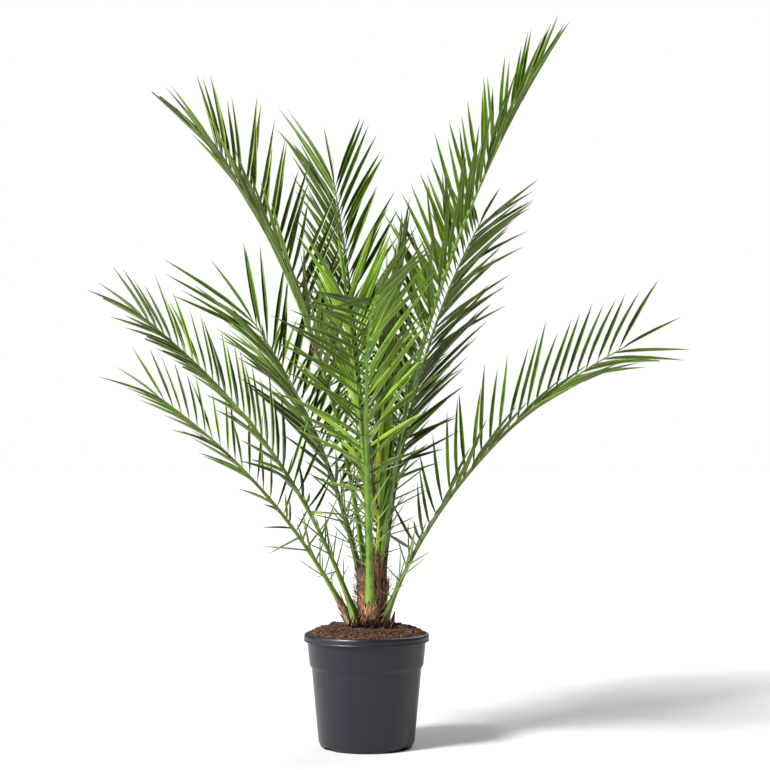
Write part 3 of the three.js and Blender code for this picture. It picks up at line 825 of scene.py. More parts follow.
def ringed(rings, heights):
    """Points, faces and UV places of a closed tube through rings of points."""
    sides = len(rings[0])
    points = [point for ring in rings for point in ring]
    faces = []
    for j in range(len(rings) - 1):
        for k in range(sides):
            a = j * sides + k
            b = j * sides + (k + 1) % sides
            faces.append((a, b, b + sides, a + sides))
    faces.append(tuple(range(sides))[::-1])
    faces.append(tuple((len(rings) - 1) * sides + k for k in range(sides)))
    uvs = [(k / sides, height) for height in heights for k in range(sides)]
    return points, faces, uvs


def stalk_skin(name, dark, light):
    """Smooth green skin with fine lines along it, brown and papery low on its UV map."""
    material, tree, shader = new_finish(name, specular=0.45)
    lines = speckle(tree, mapped(tree, (26.0, 5.0, 1.0), "UV"), 1.0, 3.0)
    cloud = speckle(tree, mapped(tree), 45.0, 3.0)
    scurf = speckle(tree, mapped(tree, (1.0, 1.0, 0.25)), 320.0, 4.0, 0.7)
    both = worked(tree, "ADD", lines, cloud)
    green = ramp(tree, spread(tree, both, 0.0, 0.5), (0.40, dark), (0.60, light))
    brown = ramp(tree, scurf, (0.34, FOOT_DARK), (0.66, FOOT_LIGHT))
    height = part_of(tree, mapped(tree, source="UV"), "Y")
    ragged = worked(tree, "MULTIPLY_ADD", scurf, FOOT_RAGGEDNESS, height)
    foot = spread(tree, ragged, 0.0, 1.0, *FOOT_EDGE)
    finish_with(
        tree, shader,
        blend(tree, foot, brown, green),
        spread(tree, foot, 0.85, 0.34), blend(tree, foot, scurf, lines), 0.35, 0.0005,
    )
    return material


stalk_skins = {tint: stalk_skin(f"stalk_{tint}", *greens) for tint, greens in STALK_TINTS.items()}
for frond in fronds:
    rings = []
    heights = []
    start = -FOOT_SINK / frond["length"]
    brown_length = BROWN_LENGTHS.get(frond["name"], BROWN_LENGTH)
    for j in range(LIMB_STEPS + 1):
        share = start + (1 - start) * (j / LIMB_STEPS) ** RING_CROWDING
        rings.append(limb_section(frond, share))
        heights.append(share * frond["length"] - brown_length)
    points, faces, uvs = ringed(rings, heights)
    limb = Joined()
    limb.put(points, faces, [0] * len(faces), uvs)
    piece = limb.piece(f"limb_{frond['name']}", [stalk_skins[frond["tint"]]], LIMB_CREASE)
    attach(piece, "root")
    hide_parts(f"stalk_{frond['name']}")


# The sheaths
# The papery sheath that each inner stalk and the front one grew from is drawn over its foot and the
# trunk and torn at the top. Loose fibres stand off the sheaths and the stem. Reddish brown, drying pale.

SHEATH_BELOW = 0.080
SHEATH_ABOVE = 0.002
FRONT_SHEATH_ABOVE = 0.026
SHEATH_HALF_ANGLE = 64.0
# The sheaths that reach less far round the trunk
SHEATH_HALF_ANGLES = {"front": 40.0, "inner_left": 34.0, "right_high": 38.0, "spear": 36.0}
SHEATH_NARROWER = 0.2
SHEATH_THICKNESS = 0.0010
SHEATH_COLUMNS = 48
SHEATH_ROWS = 24
# How far below the trunk's foot it may reach
SHEATH_LOWEST = 0.003
# Its top edge: how high at the middle and how much less at its sides, as shares of its height above
# the seat, how far it is lifted, how deep it is torn, and how much of the tear is fine and broad
SHEATH_PEAK = 1.3
SHEATH_FALL = 0.8
SHEATH_LIFT = 0.010
SHEATH_TEAR = 0.024
FINE_TEAR = 0.45
BROAD_TEAR = 0.55
SHEATH_DRAPES = 10
SHEATH_CREASE = 50
# How far a sheath stands off the trunk and off a foot, and off the sheath below it
TRUNK_CLEARANCE = 0.0012
FOOT_CLEARANCE = 0.0006
SHEATH_LAYER = 0.0003
# Its broad waves, how fast they follow one another and how they shift from frond to frond, its fine
# crumples, and how much of both is left at its foot
SHEATH_WAVE = 0.0009
SHEATH_WAVE_PACE = 11
SHEATH_WAVE_SHIFT = 2.1
SHEATH_CRUMPLE = 0.0014
RIPPLE_AT_FOOT = 0.4
# The part of each foot that is felt for, in how many steps, and how near a point has to lie
FOOT_FELT = 0.060
FOOT_STEPS = 60
FELT_BESIDE = 0.004
FELT_ABOVE = 0.003
SHEATH_RED_OFTEN = 0.35
# Each kind of sheath's darkest, middle and lightest colour
SHEATH_COLOURS = {
    "sheath_red": ((0.035, 0.014, 0.010), (0.24, 0.092, 0.050), (0.64, 0.42, 0.26)),
    "sheath_tan": ((0.050, 0.020, 0.013), (0.37, 0.190, 0.098), (0.76, 0.56, 0.37)),
    "sheath_pink": ((0.090, 0.036, 0.024), (0.46, 0.245, 0.150), (0.80, 0.58, 0.43)),
}
# A loose fibre's steps, its radius as a share of its length, and how far it may tilt. The fibres stand
# on surfaces that face any way, and their seeds follow those of the compost's bits.
FIBRE_STEPS = 5
FIBRE_RADIUS = 0.021
FIBRE_TILT = 0.75
FIBRE_LEAST_UPWARD = -2.0
FIRST_FIBRE_SEED = 20
# Each kind of loose fibre: its name, what it stands on, count for each square metre, shortest and
# longest, and its two colours
FIBRES = [
    ("sheath_fibres", "sheaths", 13000.0, 0.010, 0.030, BARK_DARK, BARK_TAN),
    ("stem_fibres", "stem", 12000.0, 0.008, 0.022, BARK_BLACK, BARK_RED),
]


def shell(outer, inner):
    """Faces of a thin closed plate between two grids of the same rows and columns of points."""
    rows = len(outer)
    columns = len(outer[0])
    points = [point for row in outer for point in row] + [point for row in inner for point in row]
    behind = rows * columns
    faces = []
    for j in range(rows - 1):
        for k in range(columns - 1):
            a = j * columns + k
            faces.append((a, a + 1, a + 1 + columns, a + columns))
            faces.append((behind + a, behind + a + columns, behind + a + 1 + columns, behind + a + 1))
    edge = list(range(columns))
    edge += [(j + 1) * columns - 1 for j in range(1, rows)]
    edge += [(rows - 1) * columns + k for k in range(columns - 2, -1, -1)]
    edge += [j * columns for j in range(rows - 2, 0, -1)]
    for k, a in enumerate(edge):
        b = edge[(k + 1) % len(edge)]
        faces.append((b, a, a + behind, b + behind))
    uvs = [(k / (columns - 1), j / (rows - 1)) for j in range(rows) for k in range(columns)] * 2
    return points, faces, uvs


def foot_surface(frond):
    """Where a stalk's foot lies: its turns round the trunk, heights and distances from the axis."""
    places = []
    for j in range(FOOT_STEPS + 1):
        share = (-FOOT_SINK + (FOOT_SINK + FOOT_FELT) * j / FOOT_STEPS) / frond["length"]
        for x, y, z in limb_section(frond, share):
            places.append((math.atan2(y, x - TRUNK_X), z, math.hypot(x - TRUNK_X, y)))
    return np.array(places).T


def sheath(frond, half_angle, above):
    """The outer and inner grids of the sheath that is drawn over a stalk's foot and the trunk."""
    number = frond["number"]
    seat_height = SOIL_TOP + frond["up"]
    foot = max(seat_height - SHEATH_BELOW, TRUNK_FOOT - SHEATH_LOWEST)
    foot_turns, foot_heights, foot_reaches = foot_surface(frond)
    grid = np.zeros((SHEATH_ROWS + 1, SHEATH_COLUMNS + 1, 3))
    for j in range(SHEATH_ROWS + 1):
        up = j / SHEATH_ROWS
        for k in range(SHEATH_COLUMNS + 1):
            across = 2 * k / SHEATH_COLUMNS - 1
            angle = math.radians(frond["seat"] + across * half_angle * (1 - SHEATH_NARROWER * up))
            torn = FINE_TEAR * chance(number, k, 21) + BROAD_TEAR * chance(number, k // 3, 22)
            arched = above * (SHEATH_PEAK - SHEATH_FALL * across * across)
            top = seat_height + arched + SHEATH_LIFT - SHEATH_TEAR * torn
            z = foot + (top - foot) * up
            apart = np.abs((foot_turns - angle + math.pi) % (2 * math.pi) - math.pi) * foot_reaches
            beside = (apart < FELT_BESIDE) & (np.abs(foot_heights - z) < FELT_ABOVE)
            reach = foot_reaches[beside].max() if beside.any() else 0.0
            wave = SHEATH_WAVE * math.sin(across * SHEATH_WAVE_PACE + number * SHEATH_WAVE_SHIFT)
            ripple = wave + SHEATH_CRUMPLE * chance(number, k, j, 1)
            near = trunk_radius(z) + TRUNK_CLEARANCE + SHEATH_LAYER * number / 4
            clear = max(near, reach + FOOT_CLEARANCE)
            grid[j, k] = (angle, z, clear + ripple * (RIPPLE_AT_FOOT + up))
    for _ in range(SHEATH_DRAPES):
        reaches = grid[:, :, 2]
        level = (reaches[1:-1, :-2] + reaches[1:-1, 2:] + reaches[:-2, 1:-1] + reaches[2:, 1:-1]) / 4
        reaches[1:-1, 1:-1] = np.maximum(reaches[1:-1, 1:-1], level)
    turns, heights, reaches = grid[:, :, 0], grid[:, :, 1], grid[:, :, 2]
    layers = []
    for depth in (0.0, SHEATH_THICKNESS):
        x = TRUNK_X + (reaches - depth) * np.cos(turns)
        y = (reaches - depth) * np.sin(turns)
        layers.append(np.stack([x, y, heights], axis=2).tolist())
    return layers


def strand(tree):
    """The geometry outlet of a bent upright fibre, one unit long."""
    line = add(tree, "GeometryNodeCurveQuadraticBezier", {
        "Resolution": FIBRE_STEPS,
        "Start": (0.0, 0.0, -0.15),
        "Middle": (0.35, 0.0, 0.45),
        "End": (-0.1, 0.15, 1.0),
    })
    ring = add(tree, "GeometryNodeCurvePrimitiveCircle", {"Resolution": 3, "Radius": FIBRE_RADIUS})
    return add(tree, "GeometryNodeCurveToMesh", {
        "Curve": line.outputs["Curve"], "Profile Curve": ring.outputs["Curve"], "Fill Caps": True,
    }).outputs["Mesh"]


sheath_skins = [fibrous(name, *colours) for name, colours in SHEATH_COLOURS.items()]
clasping = Joined()
for frond in fronds:
    is_front = frond["name"] == "front"
    if frond["up"] < OUTER_LEAST_UP and not is_front:
        continue
    half_angle = SHEATH_HALF_ANGLES.get(frond["name"], SHEATH_HALF_ANGLE)
    above = FRONT_SHEATH_ABOVE if is_front else SHEATH_ABOVE
    points, faces, uvs = shell(*sheath(frond, half_angle, above))
    finish = 2 if is_front else int(chance(frond["number"], 7, 8) > SHEATH_RED_OFTEN)
    clasping.put(points, faces, [finish] * len(faces), uvs)
sheaths = clasping.piece("leaf_sheaths", sheath_skins, SHEATH_CREASE)
trunk_pieces = [sheaths]
loose_fibres = strewn_tree("loose_fibres", strand, FIBRE_TILT, FIBRE_LEAST_UPWARD)
for seed, (name, stand, density, shortest, longest, dark, light) in enumerate(FIBRES):
    trunk_pieces.append(grown_on(sheaths if stand == "sheaths" else trunk, name, loose_fibres, {
        "Density": density,
        "Smallest": shortest,
        "Largest": longest,
        "Ragged": 0.0,
        "Shape": (1.0, 1.0, 1.0),
        "Seed": FIRST_FIBRE_SEED + seed,
        "Material": crumbly(name + "_skin", dark, light, 90.0),
    }))
for piece in trunk_pieces:
    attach(piece, "root")
    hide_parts("trunk")


# The leaflets
# Narrow blades folded in a V along the middle, pinched to a pale swollen root where they join the
# rib, widest before the middle and drawn out to a hard point. They are green above, greyer below.

LEAFLET_WIDTH_SHARE = 0.078
SHORT_LEAFLET_WIDTH = 0.62
STAGGER = 0.2
SPLAY_SPREAD = 12
RISE_SPREAD = 24
TIP_OPENING = 0.75
LENGTH_SPREAD = 0.24
# The low leaflets, up to this share of the blade, are shorter and stray more
LOW_SHARE = 0.25
LOW_LENGTH = 0.5
LOW_SPLAY = 26
LOW_SPLAY_SPREAD = 36
LOW_RISE_SPREAD = 70
# From this share on they grow shorter towards the frond's tip, by the first power of the way along
# it, and by the second power they close to the rib
FADE_SHARE = 0.3
FADE_POWER = 1.3
CLOSE_POWER = 2.2
# The frond's last leaflet, against its others, and how far it is set into the rib's tip
TIP_LEAFLET_SHARE = 0.8
TIP_LEAFLET_SINK = 0.002
# A leaflet that would pass through another frond's limb is turned this much and tried again. Points
# along the limbs and, from a share of its length on, along the leaflet are compared.
RETRY_SPLAY = 9
RETRY_RISE = 22
LEAFLET_TRIES = 4
LEAFLET_CLEARANCE = 0.002
LIMB_SAMPLES = 60
LEAFLET_SAMPLES = 24
FELT_FROM = 0.1
# How much it turns, in degrees, and how much it arches and bends sideways, as shares of its length
LEAFLET_TWIST = 24
LEAFLET_ARCH = 0.016
LEAFLET_SWAY = 0.024
LEAFLET_CREASE = 12
LEAFLET_RINGS = [0.0, 0.045, 0.14, 0.34, 0.57, 0.80, 0.985]
# The blade's half width, its fold above the flat and its thickness at the middle, by the way along it
WIDTH_WAYS = [0.0, 0.045, 0.14, 0.26, 0.40, 0.60, 0.80, 1.0]
WIDTH_SHARES = [0.26, 0.32, 0.72, 0.96, 1.0, 0.80, 0.45, 0.01]
FOLD_ANGLES = [78, 74, 63, 57, 53, 50, 46, 40]
THICKNESSES = [0.0022, 0.0020, 0.0013, 0.0011, 0.0009, 0.0007, 0.0005, 0.0003]
# Each tint's upper and under colours, darker and lighter
LEAF_TINTS = {
    "bright": ((0.027, 0.070, 0.002), (0.138, 0.252, 0.008), (0.048, 0.094, 0.007), (0.150, 0.230, 0.030)),
    "fresh": ((0.048, 0.108, 0.003), (0.200, 0.320, 0.030), (0.070, 0.122, 0.012), (0.190, 0.280, 0.042)),
    "pale": ((0.075, 0.130, 0.014), (0.270, 0.370, 0.062), (0.100, 0.150, 0.028), (0.250, 0.320, 0.095)),
    "deep": ((0.026, 0.060, 0.002), (0.120, 0.210, 0.009), (0.046, 0.084, 0.008), (0.135, 0.195, 0.034)),
    "dull": ((0.030, 0.056, 0.004), (0.140, 0.195, 0.028), (0.052, 0.076, 0.014), (0.148, 0.185, 0.056)),
    "dusk": ((0.022, 0.041, 0.003), (0.100, 0.140, 0.020), (0.038, 0.056, 0.010), (0.110, 0.138, 0.040)),
    "young": ((0.085, 0.205, 0.003), (0.270, 0.500, 0.018), (0.110, 0.220, 0.009), (0.260, 0.420, 0.036)),
    "furled": ((0.040, 0.078, 0.005), (0.180, 0.260, 0.030), (0.055, 0.085, 0.012), (0.170, 0.220, 0.050)),
    "lime": ((0.110, 0.265, 0.004), (0.320, 0.560, 0.028), (0.140, 0.280, 0.010), (0.310, 0.500, 0.044)),
    "yellow": ((0.360, 0.460, 0.010), (0.760, 0.780, 0.060), (0.360, 0.430, 0.020), (0.640, 0.680, 0.080)),
    "shade": ((0.019, 0.044, 0.002), (0.088, 0.160, 0.006), (0.032, 0.060, 0.004), (0.096, 0.150, 0.018)),
}
ROOT_COLOUR = (0.30, 0.38, 0.10)
DRY_COLOUR = (0.28, 0.20, 0.10)
# How pale the fold is above and below, partly a painted highlight, and how glossy each side is
UPPER_FOLD = 0.50
UNDER_FOLD = 0.85
UPPER_SHEEN = 0.28
UNDER_SHEEN = 0.18
# The tints of its lighter and its darker leaflets, and how often each comes
LIGHTER_TINTS = {
    "bright": "fresh", "fresh": "young", "pale": "young", "deep": "fresh", "dull": "fresh", "dusk": "dull",
    "young": "lime", "furled": "yellow",
}
DARKER_TINTS = {
    "bright": "deep", "fresh": "deep", "pale": "dull", "deep": "shade", "dull": "shade", "dusk": "shade",
    "young": "fresh", "furled": "dusk",
}
LIGHTER_OFTEN = 0.14
LIGHTER_OFTENS = {"front": 0.05, "inner_left": 0.40, "spear": 0.0}
DARKER_OFTEN = 0.36
# The fronds whose low leaflets are lighter more or less often, and up to what share of the blade
LOW_LIGHTER_OFTENS = {"spear": 0.80, "back_upright": 0.60, "right_high": 0.50, "inner_left": -0.90}
LOW_LIGHTER_SHARE = 0.40
# The fronds with leaflets cut short and blunt: from what share of the blade on, and on which side.
# Then how often, the least share of such a leaflet that is left, and how much more it may be.
CLIPPED = {"left_wide": (0.45, 1), "left_high": (0.85, 1), "right_wide": (0.8, -1)}
CLIPPED_OFTEN = 0.55
CLIPPED_LEAST = 0.80
CLIPPED_MORE = 0.1
# The places of each finish among a frond's eight: three tints above and below, the root, the dry tip
OWN = 0
DARKER = 2
LIGHTER = 4
ROOT = 6
DRY = 7


def leaf_skin(name, dark, light, midline, sheen):
    """Leathery green blade, fine veins along it, the fold and margins paler and with a painted highlight.
    """
    material, tree, shader = new_finish(name, specular=sheen)
    veins = speckle(tree, mapped(tree, (34.0, 1.2, 1.0), "UV"), 1.0, 3.0, 0.6)
    cloud = speckle(tree, mapped(tree), 32.0, 3.0)
    both = worked(tree, "ADD", veins, cloud)
    green = ramp(tree, spread(tree, both, 0.0, 0.5), (0.41, dark), (0.59, light))
    across = part_of(tree, mapped(tree, source="UV"), "X")
    off_middle = worked(tree, "ABSOLUTE", worked(tree, "SUBTRACT", across, 0.5))
    # A much lighter green for the fold and margins: their own paler colour and a painted highlight.
    pale_and_highlight = tuple(min(1.0, 1.7 * value + 0.06) for value in light)
    pale = ramp(
        tree, off_middle,
        (0.0, (midline,) * 3), (0.06, (0.0,) * 3), (0.38, (0.0,) * 3), (0.47, (0.5,) * 3),
    )
    finish_with(
        tree, shader,
        blend(tree, pale, green, pale_and_highlight),
        spread(tree, veins, 0.30, 0.50), veins, 0.15, 0.0003,
    )
    return material


def speckled(name, colour, roughness):
    """A plain dry or pale skin with fine mottling."""
    material, tree, shader = new_finish(name, specular=0.35)
    spots = speckle(tree, mapped(tree), 700.0, 3.0)
    darker = tuple(0.6 * value for value in colour)
    finish_with(
        tree, shader,
        blend(tree, spots, darker, colour),
        spread(tree, spots, roughness, roughness + 0.2), spots, 0.3, 0.0003,
    )
    return material


leaf_skins = {}
for tint, (upper_dark, upper_light, under_dark, under_light) in LEAF_TINTS.items():
    leaf_skins[tint] = (
        leaf_skin(f"leaflet_upper_{tint}", upper_dark, upper_light, UPPER_FOLD, UPPER_SHEEN),
        leaf_skin(f"leaflet_under_{tint}", under_dark, under_light, UNDER_FOLD, UNDER_SHEEN),
    )
root_skin = speckled("leaflet_root", ROOT_COLOUR, 0.45)
dry_skin = speckled("dry_tip", DRY_COLOUR, 0.75)


def sprout(across, up, along, side, splay, rise):
    """The direction of a leaflet or spine at this angle to its limb, standing up this far."""
    out = across * side * math.cos(rise) + up * math.sin(rise)
    return along * math.cos(splay) + out * math.sin(splay)


def leaflet_at(frond, pair, pairs, side, attempt):
    """How one leaflet grows: its root, direction, width direction, length and width."""
    def stray(kind):
        return chance(frond["number"], pair, side, kind) - 0.5

    way = min((pair + 0.5 + STAGGER * side) / pairs, 1.0)
    centre, across, up, along = place_at(frond, frond["bare"] + (1 - frond["bare"]) * way)
    low = max(0.0, 1 - way / LOW_SHARE)
    splay = math.radians(
        frond["splay"] + (frond["close"] - frond["splay"]) * way ** CLOSE_POWER
        + SPLAY_SPREAD * frond["loose"] * stray(0)
        + low * (LOW_SPLAY + LOW_SPLAY_SPREAD * stray(1))
        + RETRY_SPLAY * attempt * stray(5)
    )
    rise = math.radians(
        frond["rise"] * (1 - TIP_OPENING * way ** 3)
        + RISE_SPREAD * frond["loose"] * stray(2)
        + LOW_RISE_SPREAD * low * stray(3)
        + RETRY_RISE * attempt * stray(6)
    )
    grown = 1 - (1 - LOW_LENGTH) * low
    fading = max(0.0, (way - FADE_SHARE) / (1 - FADE_SHARE)) ** FADE_POWER
    faded = 1 - (1 - frond["tip"]) * fading
    length = frond["leaflet"] * grown * faded * (1 + LENGTH_SPREAD * stray(4))
    width_share = SHORT_LEAFLET_WIDTH + (1 - SHORT_LEAFLET_WIDTH) * length / frond["leaflet"]
    width = frond["leaflet"] * LEAFLET_WIDTH_SHARE * width_share
    return centre, sprout(across, up, along, side, splay, rise), -side * along, length, width


def leaflet_shape(root, direction, sideways, length, width, keys, cut=1.0):
    """Points of one folded leaflet, slightly arched and turned, or cut short and blunt."""
    side = sideways - direction * direction.dot(sideways)
    side /= np.linalg.norm(side)
    face = np.cross(direction, side)
    roll = math.radians(LEAFLET_TWIST * (chance(*keys, 10) - 0.5))
    side = side * math.cos(roll) + face * math.sin(roll)
    face = np.cross(direction, side)
    lift = np.array([0.0, 0.0, 1.0]) - direction * direction[2]
    arch = LEAFLET_ARCH * chance(*keys, 11)
    sway = LEAFLET_SWAY * (chance(*keys, 12) - 0.5)
    bow = (lift * arch + side * sway) * length * 4
    points = []
    for ring in LEAFLET_RINGS:
        way = ring * cut
        middle = root + direction * length * way + bow * way * (1 - way)
        half = width / 2 * float(np.interp(way, WIDTH_WAYS, WIDTH_SHARES))
        fold = math.radians(float(np.interp(way, WIDTH_WAYS, FOLD_ANGLES)))
        thick = float(np.interp(way, WIDTH_WAYS, THICKNESSES))
        edge = face * half * math.sin(fold)
        points.append(middle + side * half * math.cos(fold) + edge)
        points.append(middle)
        points.append(middle - side * half * math.cos(fold) + edge)
        points.append(middle - face * thick)
    points.append(root + direction * length * cut + bow * cut * (1 - cut))
    return points


def leaflet_faces(upper, blunt):
    """The faces, finishes and UV places that every leaflet has, from its pale root to its tip."""
    faces = []
    finishes = []
    last = len(LEAFLET_RINGS) - 1
    strands = [upper, upper, upper + 1, upper + 1]
    for j in range(last + 1):
        for k, finish in enumerate(strands):
            a = 4 * j + k
            b = 4 * j + (k + 1) % 4
            faces.append((a, b, b + 4, a + 4) if j < last else (a, b, 4 * last + 4))
            if j == 0:
                finish = ROOT
            elif blunt and j >= last:
                finish = DRY
            finishes.append(finish)
    faces.append((3, 2, 1, 0))
    finishes.append(ROOT)
    uvs = [(u, ring) for ring in LEAFLET_RINGS for u in (0.0, 0.5, 1.0, 0.5)] + [(0.5, 1.0)]
    return faces, finishes, uvs


limb_points = []
limb_reach = []
limb_owner = []
for frond in fronds:
    for k in range(LIMB_SAMPLES + 1):
        limb_points.append(place_at(frond, k / LIMB_SAMPLES)[0])
        limb_reach.append(max(limb_size(frond, k / LIMB_SAMPLES)))
        limb_owner.append(frond["number"])
limb_points = np.array(limb_points)
limb_reach = np.array(limb_reach) + LEAFLET_CLEARANCE
limb_owner = np.array(limb_owner)


def is_clear(root, direction, length, number):
    """Whether a straight leaflet or spine stays clear of every other frond's limb."""
    others = limb_owner != number
    samples = root + np.outer(np.linspace(FELT_FROM, 1.0, LEAFLET_SAMPLES), direction) * length
    gaps = np.linalg.norm(samples[:, None, :] - limb_points[others][None, :, :], axis=2)
    return bool((gaps > limb_reach[others]).all())


for frond in fronds:
    leaflets = Joined()
    pairs = round(frond["length"] * (1 - frond["bare"]) / frond["pitch"])
    for pair in range(pairs):
        lighter_often = LIGHTER_OFTENS.get(frond["name"], LIGHTER_OFTEN)
        low = max(0.0, 1 - pair / pairs / LOW_LIGHTER_SHARE)
        lighter_often += LOW_LIGHTER_OFTENS.get(frond["name"], 0.0) * low
        for side in (-1, 1):
            for attempt in range(LEAFLET_TRIES):
                root, direction, sideways, length, width = leaflet_at(frond, pair, pairs, side, attempt)
                if is_clear(root, direction, length, frond["number"]):
                    break
            else:
                continue
            keys = (frond["number"], pair, side)
            shade = chance(*keys, 13)
            upper = LIGHTER if shade > 1 - lighter_often else DARKER if shade < DARKER_OFTEN else OWN
            from_way, clipped_side = CLIPPED.get(frond["name"], (1.0, 0))
            may_be_blunt = side == clipped_side and pair / pairs > from_way
            blunt = may_be_blunt and chance(*keys, 14) > 1 - CLIPPED_OFTEN
            faces, finishes, uvs = leaflet_faces(upper, blunt)
            cut = CLIPPED_LEAST + CLIPPED_MORE * chance(*keys, 15) if blunt else 1.0
            points = leaflet_shape(root, direction, sideways, length, width, keys, cut)
            leaflets.put(points, faces, finishes, uvs)
    centre, across, _, along = place_at(frond, 1 - TIP_LEAFLET_SINK / frond["length"])
    length = frond["leaflet"] * frond["tip"] * TIP_LEAFLET_SHARE
    width = frond["leaflet"] * LEAFLET_WIDTH_SHARE * TIP_LEAFLET_SHARE
    faces, finishes, uvs = leaflet_faces(OWN, False)
    points = leaflet_shape(centre, along, across, length, width, (frond["number"], pairs, 0))
    leaflets.put(points, faces, finishes, uvs)
    tint = frond["tint"]
    skins = [*leaf_skins[tint], *leaf_skins[DARKER_TINTS[tint]], *leaf_skins[LIGHTER_TINTS[tint]]]
    skins += [root_skin, dry_skin]
    piece = leaflets.piece(f"leaflets_{frond['name']}", skins, LEAFLET_CREASE)
    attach(piece, "root")
    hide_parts(f"frond_{frond['name']}")


# The spines
# The lowest leaflets of each frond are stiff pale-green spines, which stand off both edges of the
# stalk at odd angles and grow longer towards the blade.

SPINE_PAIRS = 8
SPINE_STAGGER = 0.3
# Their length and radius, the share of each that the lowest have, what chance adds to the length, and
# how much more they have by the blade
SPINE_LENGTH = 0.080
SPINE_SHORTEST = 0.45
SPINE_LENGTH_SPREAD = 0.35
SPINE_LENGTHENING = 0.65
SPINE_RADIUS = 0.0016
SPINE_THINNEST = 0.75
SPINE_THICKENING = 0.6
# Where on the bare stalk they start, and over how much of it they stand
SPINES_FROM = 0.34
SPINES_OVER = 0.64
SPINE_SPLAY = 50
SPINE_SPLAY_SPREAD = 64
SPINE_RISE = 20
SPINE_RISE_SPREAD = 90
SPINE_BEND = 0.10
SPINE_SIDES = 5
SPINE_WAYS = [0.0, 0.12, 0.5, 0.8, 1.0]
SPINE_SHARES = [1.35, 1.0, 0.9, 0.6, 0.08]
SPINE_DARK = (0.11, 0.17, 0.045)
SPINE_LIGHT = (0.26, 0.33, 0.13)

spine_skin = leaf_skin("spine_skin", SPINE_DARK, SPINE_LIGHT, 0.1, 0.20)


def pointed(root, direction, length, radius, keys):
    """Rings of points along a slim spine that bends slightly to its point."""
    helper = np.array([0.0, 0.0, 1.0]) if abs(direction[2]) < 0.9 else np.array([1.0, 0.0, 0.0])
    side = np.cross(direction, helper)
    side /= np.linalg.norm(side)
    face = np.cross(direction, side)
    bend = (side * (chance(*keys, 16) - 0.5) + face * (chance(*keys, 17) - 0.5)) * SPINE_BEND
    rings = []
    for way, share in zip(SPINE_WAYS, SPINE_SHARES):
        centre = root + direction * length * way + bend * length * way * way
        ring = []
        for k in range(SPINE_SIDES):
            turn = 2 * math.pi * k / SPINE_SIDES
            ring.append(centre + (side * math.cos(turn) + face * math.sin(turn)) * radius * share)
        rings.append(ring)
    return rings


for frond in fronds:
    spines = Joined()
    for pair in range(SPINE_PAIRS):
        for side in (-1, 1):
            keys = (frond["number"], pair, side)
            grown = (pair + 0.5 + SPINE_STAGGER * side) / SPINE_PAIRS
            share = frond["bare"] * (SPINES_FROM + SPINES_OVER * grown)
            centre, across, up, along = place_at(frond, share)
            splay = math.radians(SPINE_SPLAY + SPINE_SPLAY_SPREAD * (chance(*keys, 7) - 0.5))
            rise = math.radians(SPINE_RISE + SPINE_RISE_SPREAD * (chance(*keys, 8) - 0.5))
            direction = sprout(across, up, along, side, splay, rise)
            shortest = SPINE_SHORTEST + SPINE_LENGTH_SPREAD * chance(*keys, 9)
            length = SPINE_LENGTH * (shortest + SPINE_LENGTHENING * grown)
            radius = SPINE_RADIUS * (SPINE_THINNEST + SPINE_THICKENING * grown)
            if is_clear(centre, direction, length, frond["number"]):
                rings = pointed(centre, direction, length, radius, keys)
                points, faces, uvs = ringed(rings, [length * way for way in SPINE_WAYS])
                spines.put(points, faces, [0] * len(faces), uvs)
    piece = spines.piece(f"spines_{frond['name']}", [spine_skin], LIMB_CREASE)
    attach(piece, "root")
    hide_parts(f"stalk_{frond['name']}")


# The spear's plaits
# The youngest leaf has not opened: its leaflets still lie folded together round its rib, in slim
# plaits, some green and some yellow, which part a little towards their tips.

PLAITS = 15
PLAIT_STEPS = 16
# The shares of the frond that they start and end between, and how far they stand off its rib
PLAIT_STARTS = [0.06, 0.14]
PLAIT_ENDS = [0.50, 0.80]
PLAIT_REACHES = [0.008, 0.016]
PLAIT_HALF_WIDTH = 0.0042
PLAIT_HALF_THICKNESS = 0.0012
# How much of its thickness a plait loses, how fast it leaves the rib, and how far it parts at its tip
PLAIT_THINNING = 0.7
PLAIT_LEAVING = 2.4
PLAIT_PARTING = 0.006
# Where in a half wave, which its width follows, it starts, and over how much of it it runs
PLAIT_WAVE_FROM = 0.10
PLAIT_WAVE_OVER = 0.88
PLAIT_YELLOW_OFTEN = 0.45


def between(limits, a, b, c):
    """A repeatable number between two limits for these whole numbers."""
    return limits[0] + (limits[1] - limits[0]) * chance(a, b, c)


spear = by_name["spear"]
plaits = Joined()
for i in range(PLAITS):
    turn = 2 * math.pi * (i + 0.5 * chance(i, 81, 82)) / PLAITS
    first = between(PLAIT_STARTS, i, 83, 84)
    last = between(PLAIT_ENDS, i, 85, 86)
    reach = between(PLAIT_REACHES, i, 87, 88)
    rings = []
    shares = [first + (last - first) * j / PLAIT_STEPS for j in range(PLAIT_STEPS + 1)]
    for j, share in enumerate(shares):
        way = j / PLAIT_STEPS
        centre, across, up, _ = place_at(spear, share)
        outwards = across * math.cos(turn) + up * math.sin(turn)
        sideways = up * math.cos(turn) - across * math.sin(turn)
        middle = centre + outwards * (reach * min(1.0, PLAIT_LEAVING * way) + PLAIT_PARTING * way ** 3)
        wave = math.sin(math.pi * (PLAIT_WAVE_FROM + PLAIT_WAVE_OVER * way))
        half = sideways * PLAIT_HALF_WIDTH * wave
        thin = outwards * PLAIT_HALF_THICKNESS * (1 - PLAIT_THINNING * way)
        rings.append([middle + half, middle + thin, middle - half, middle - thin])
    points, faces, uvs = ringed(rings, shares)
    finish = 1 if chance(i, 89, 90) < PLAIT_YELLOW_OFTEN else 0
    plaits.put(points, faces, [finish] * len(faces), uvs)
plait_skins = [leaf_skins["young"][0], leaf_skins["yellow"][0]]
plait_piece = plaits.piece("spear_plaits", plait_skins, LIMB_CREASE)
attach(plait_piece, "root")
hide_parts("frond_spear")


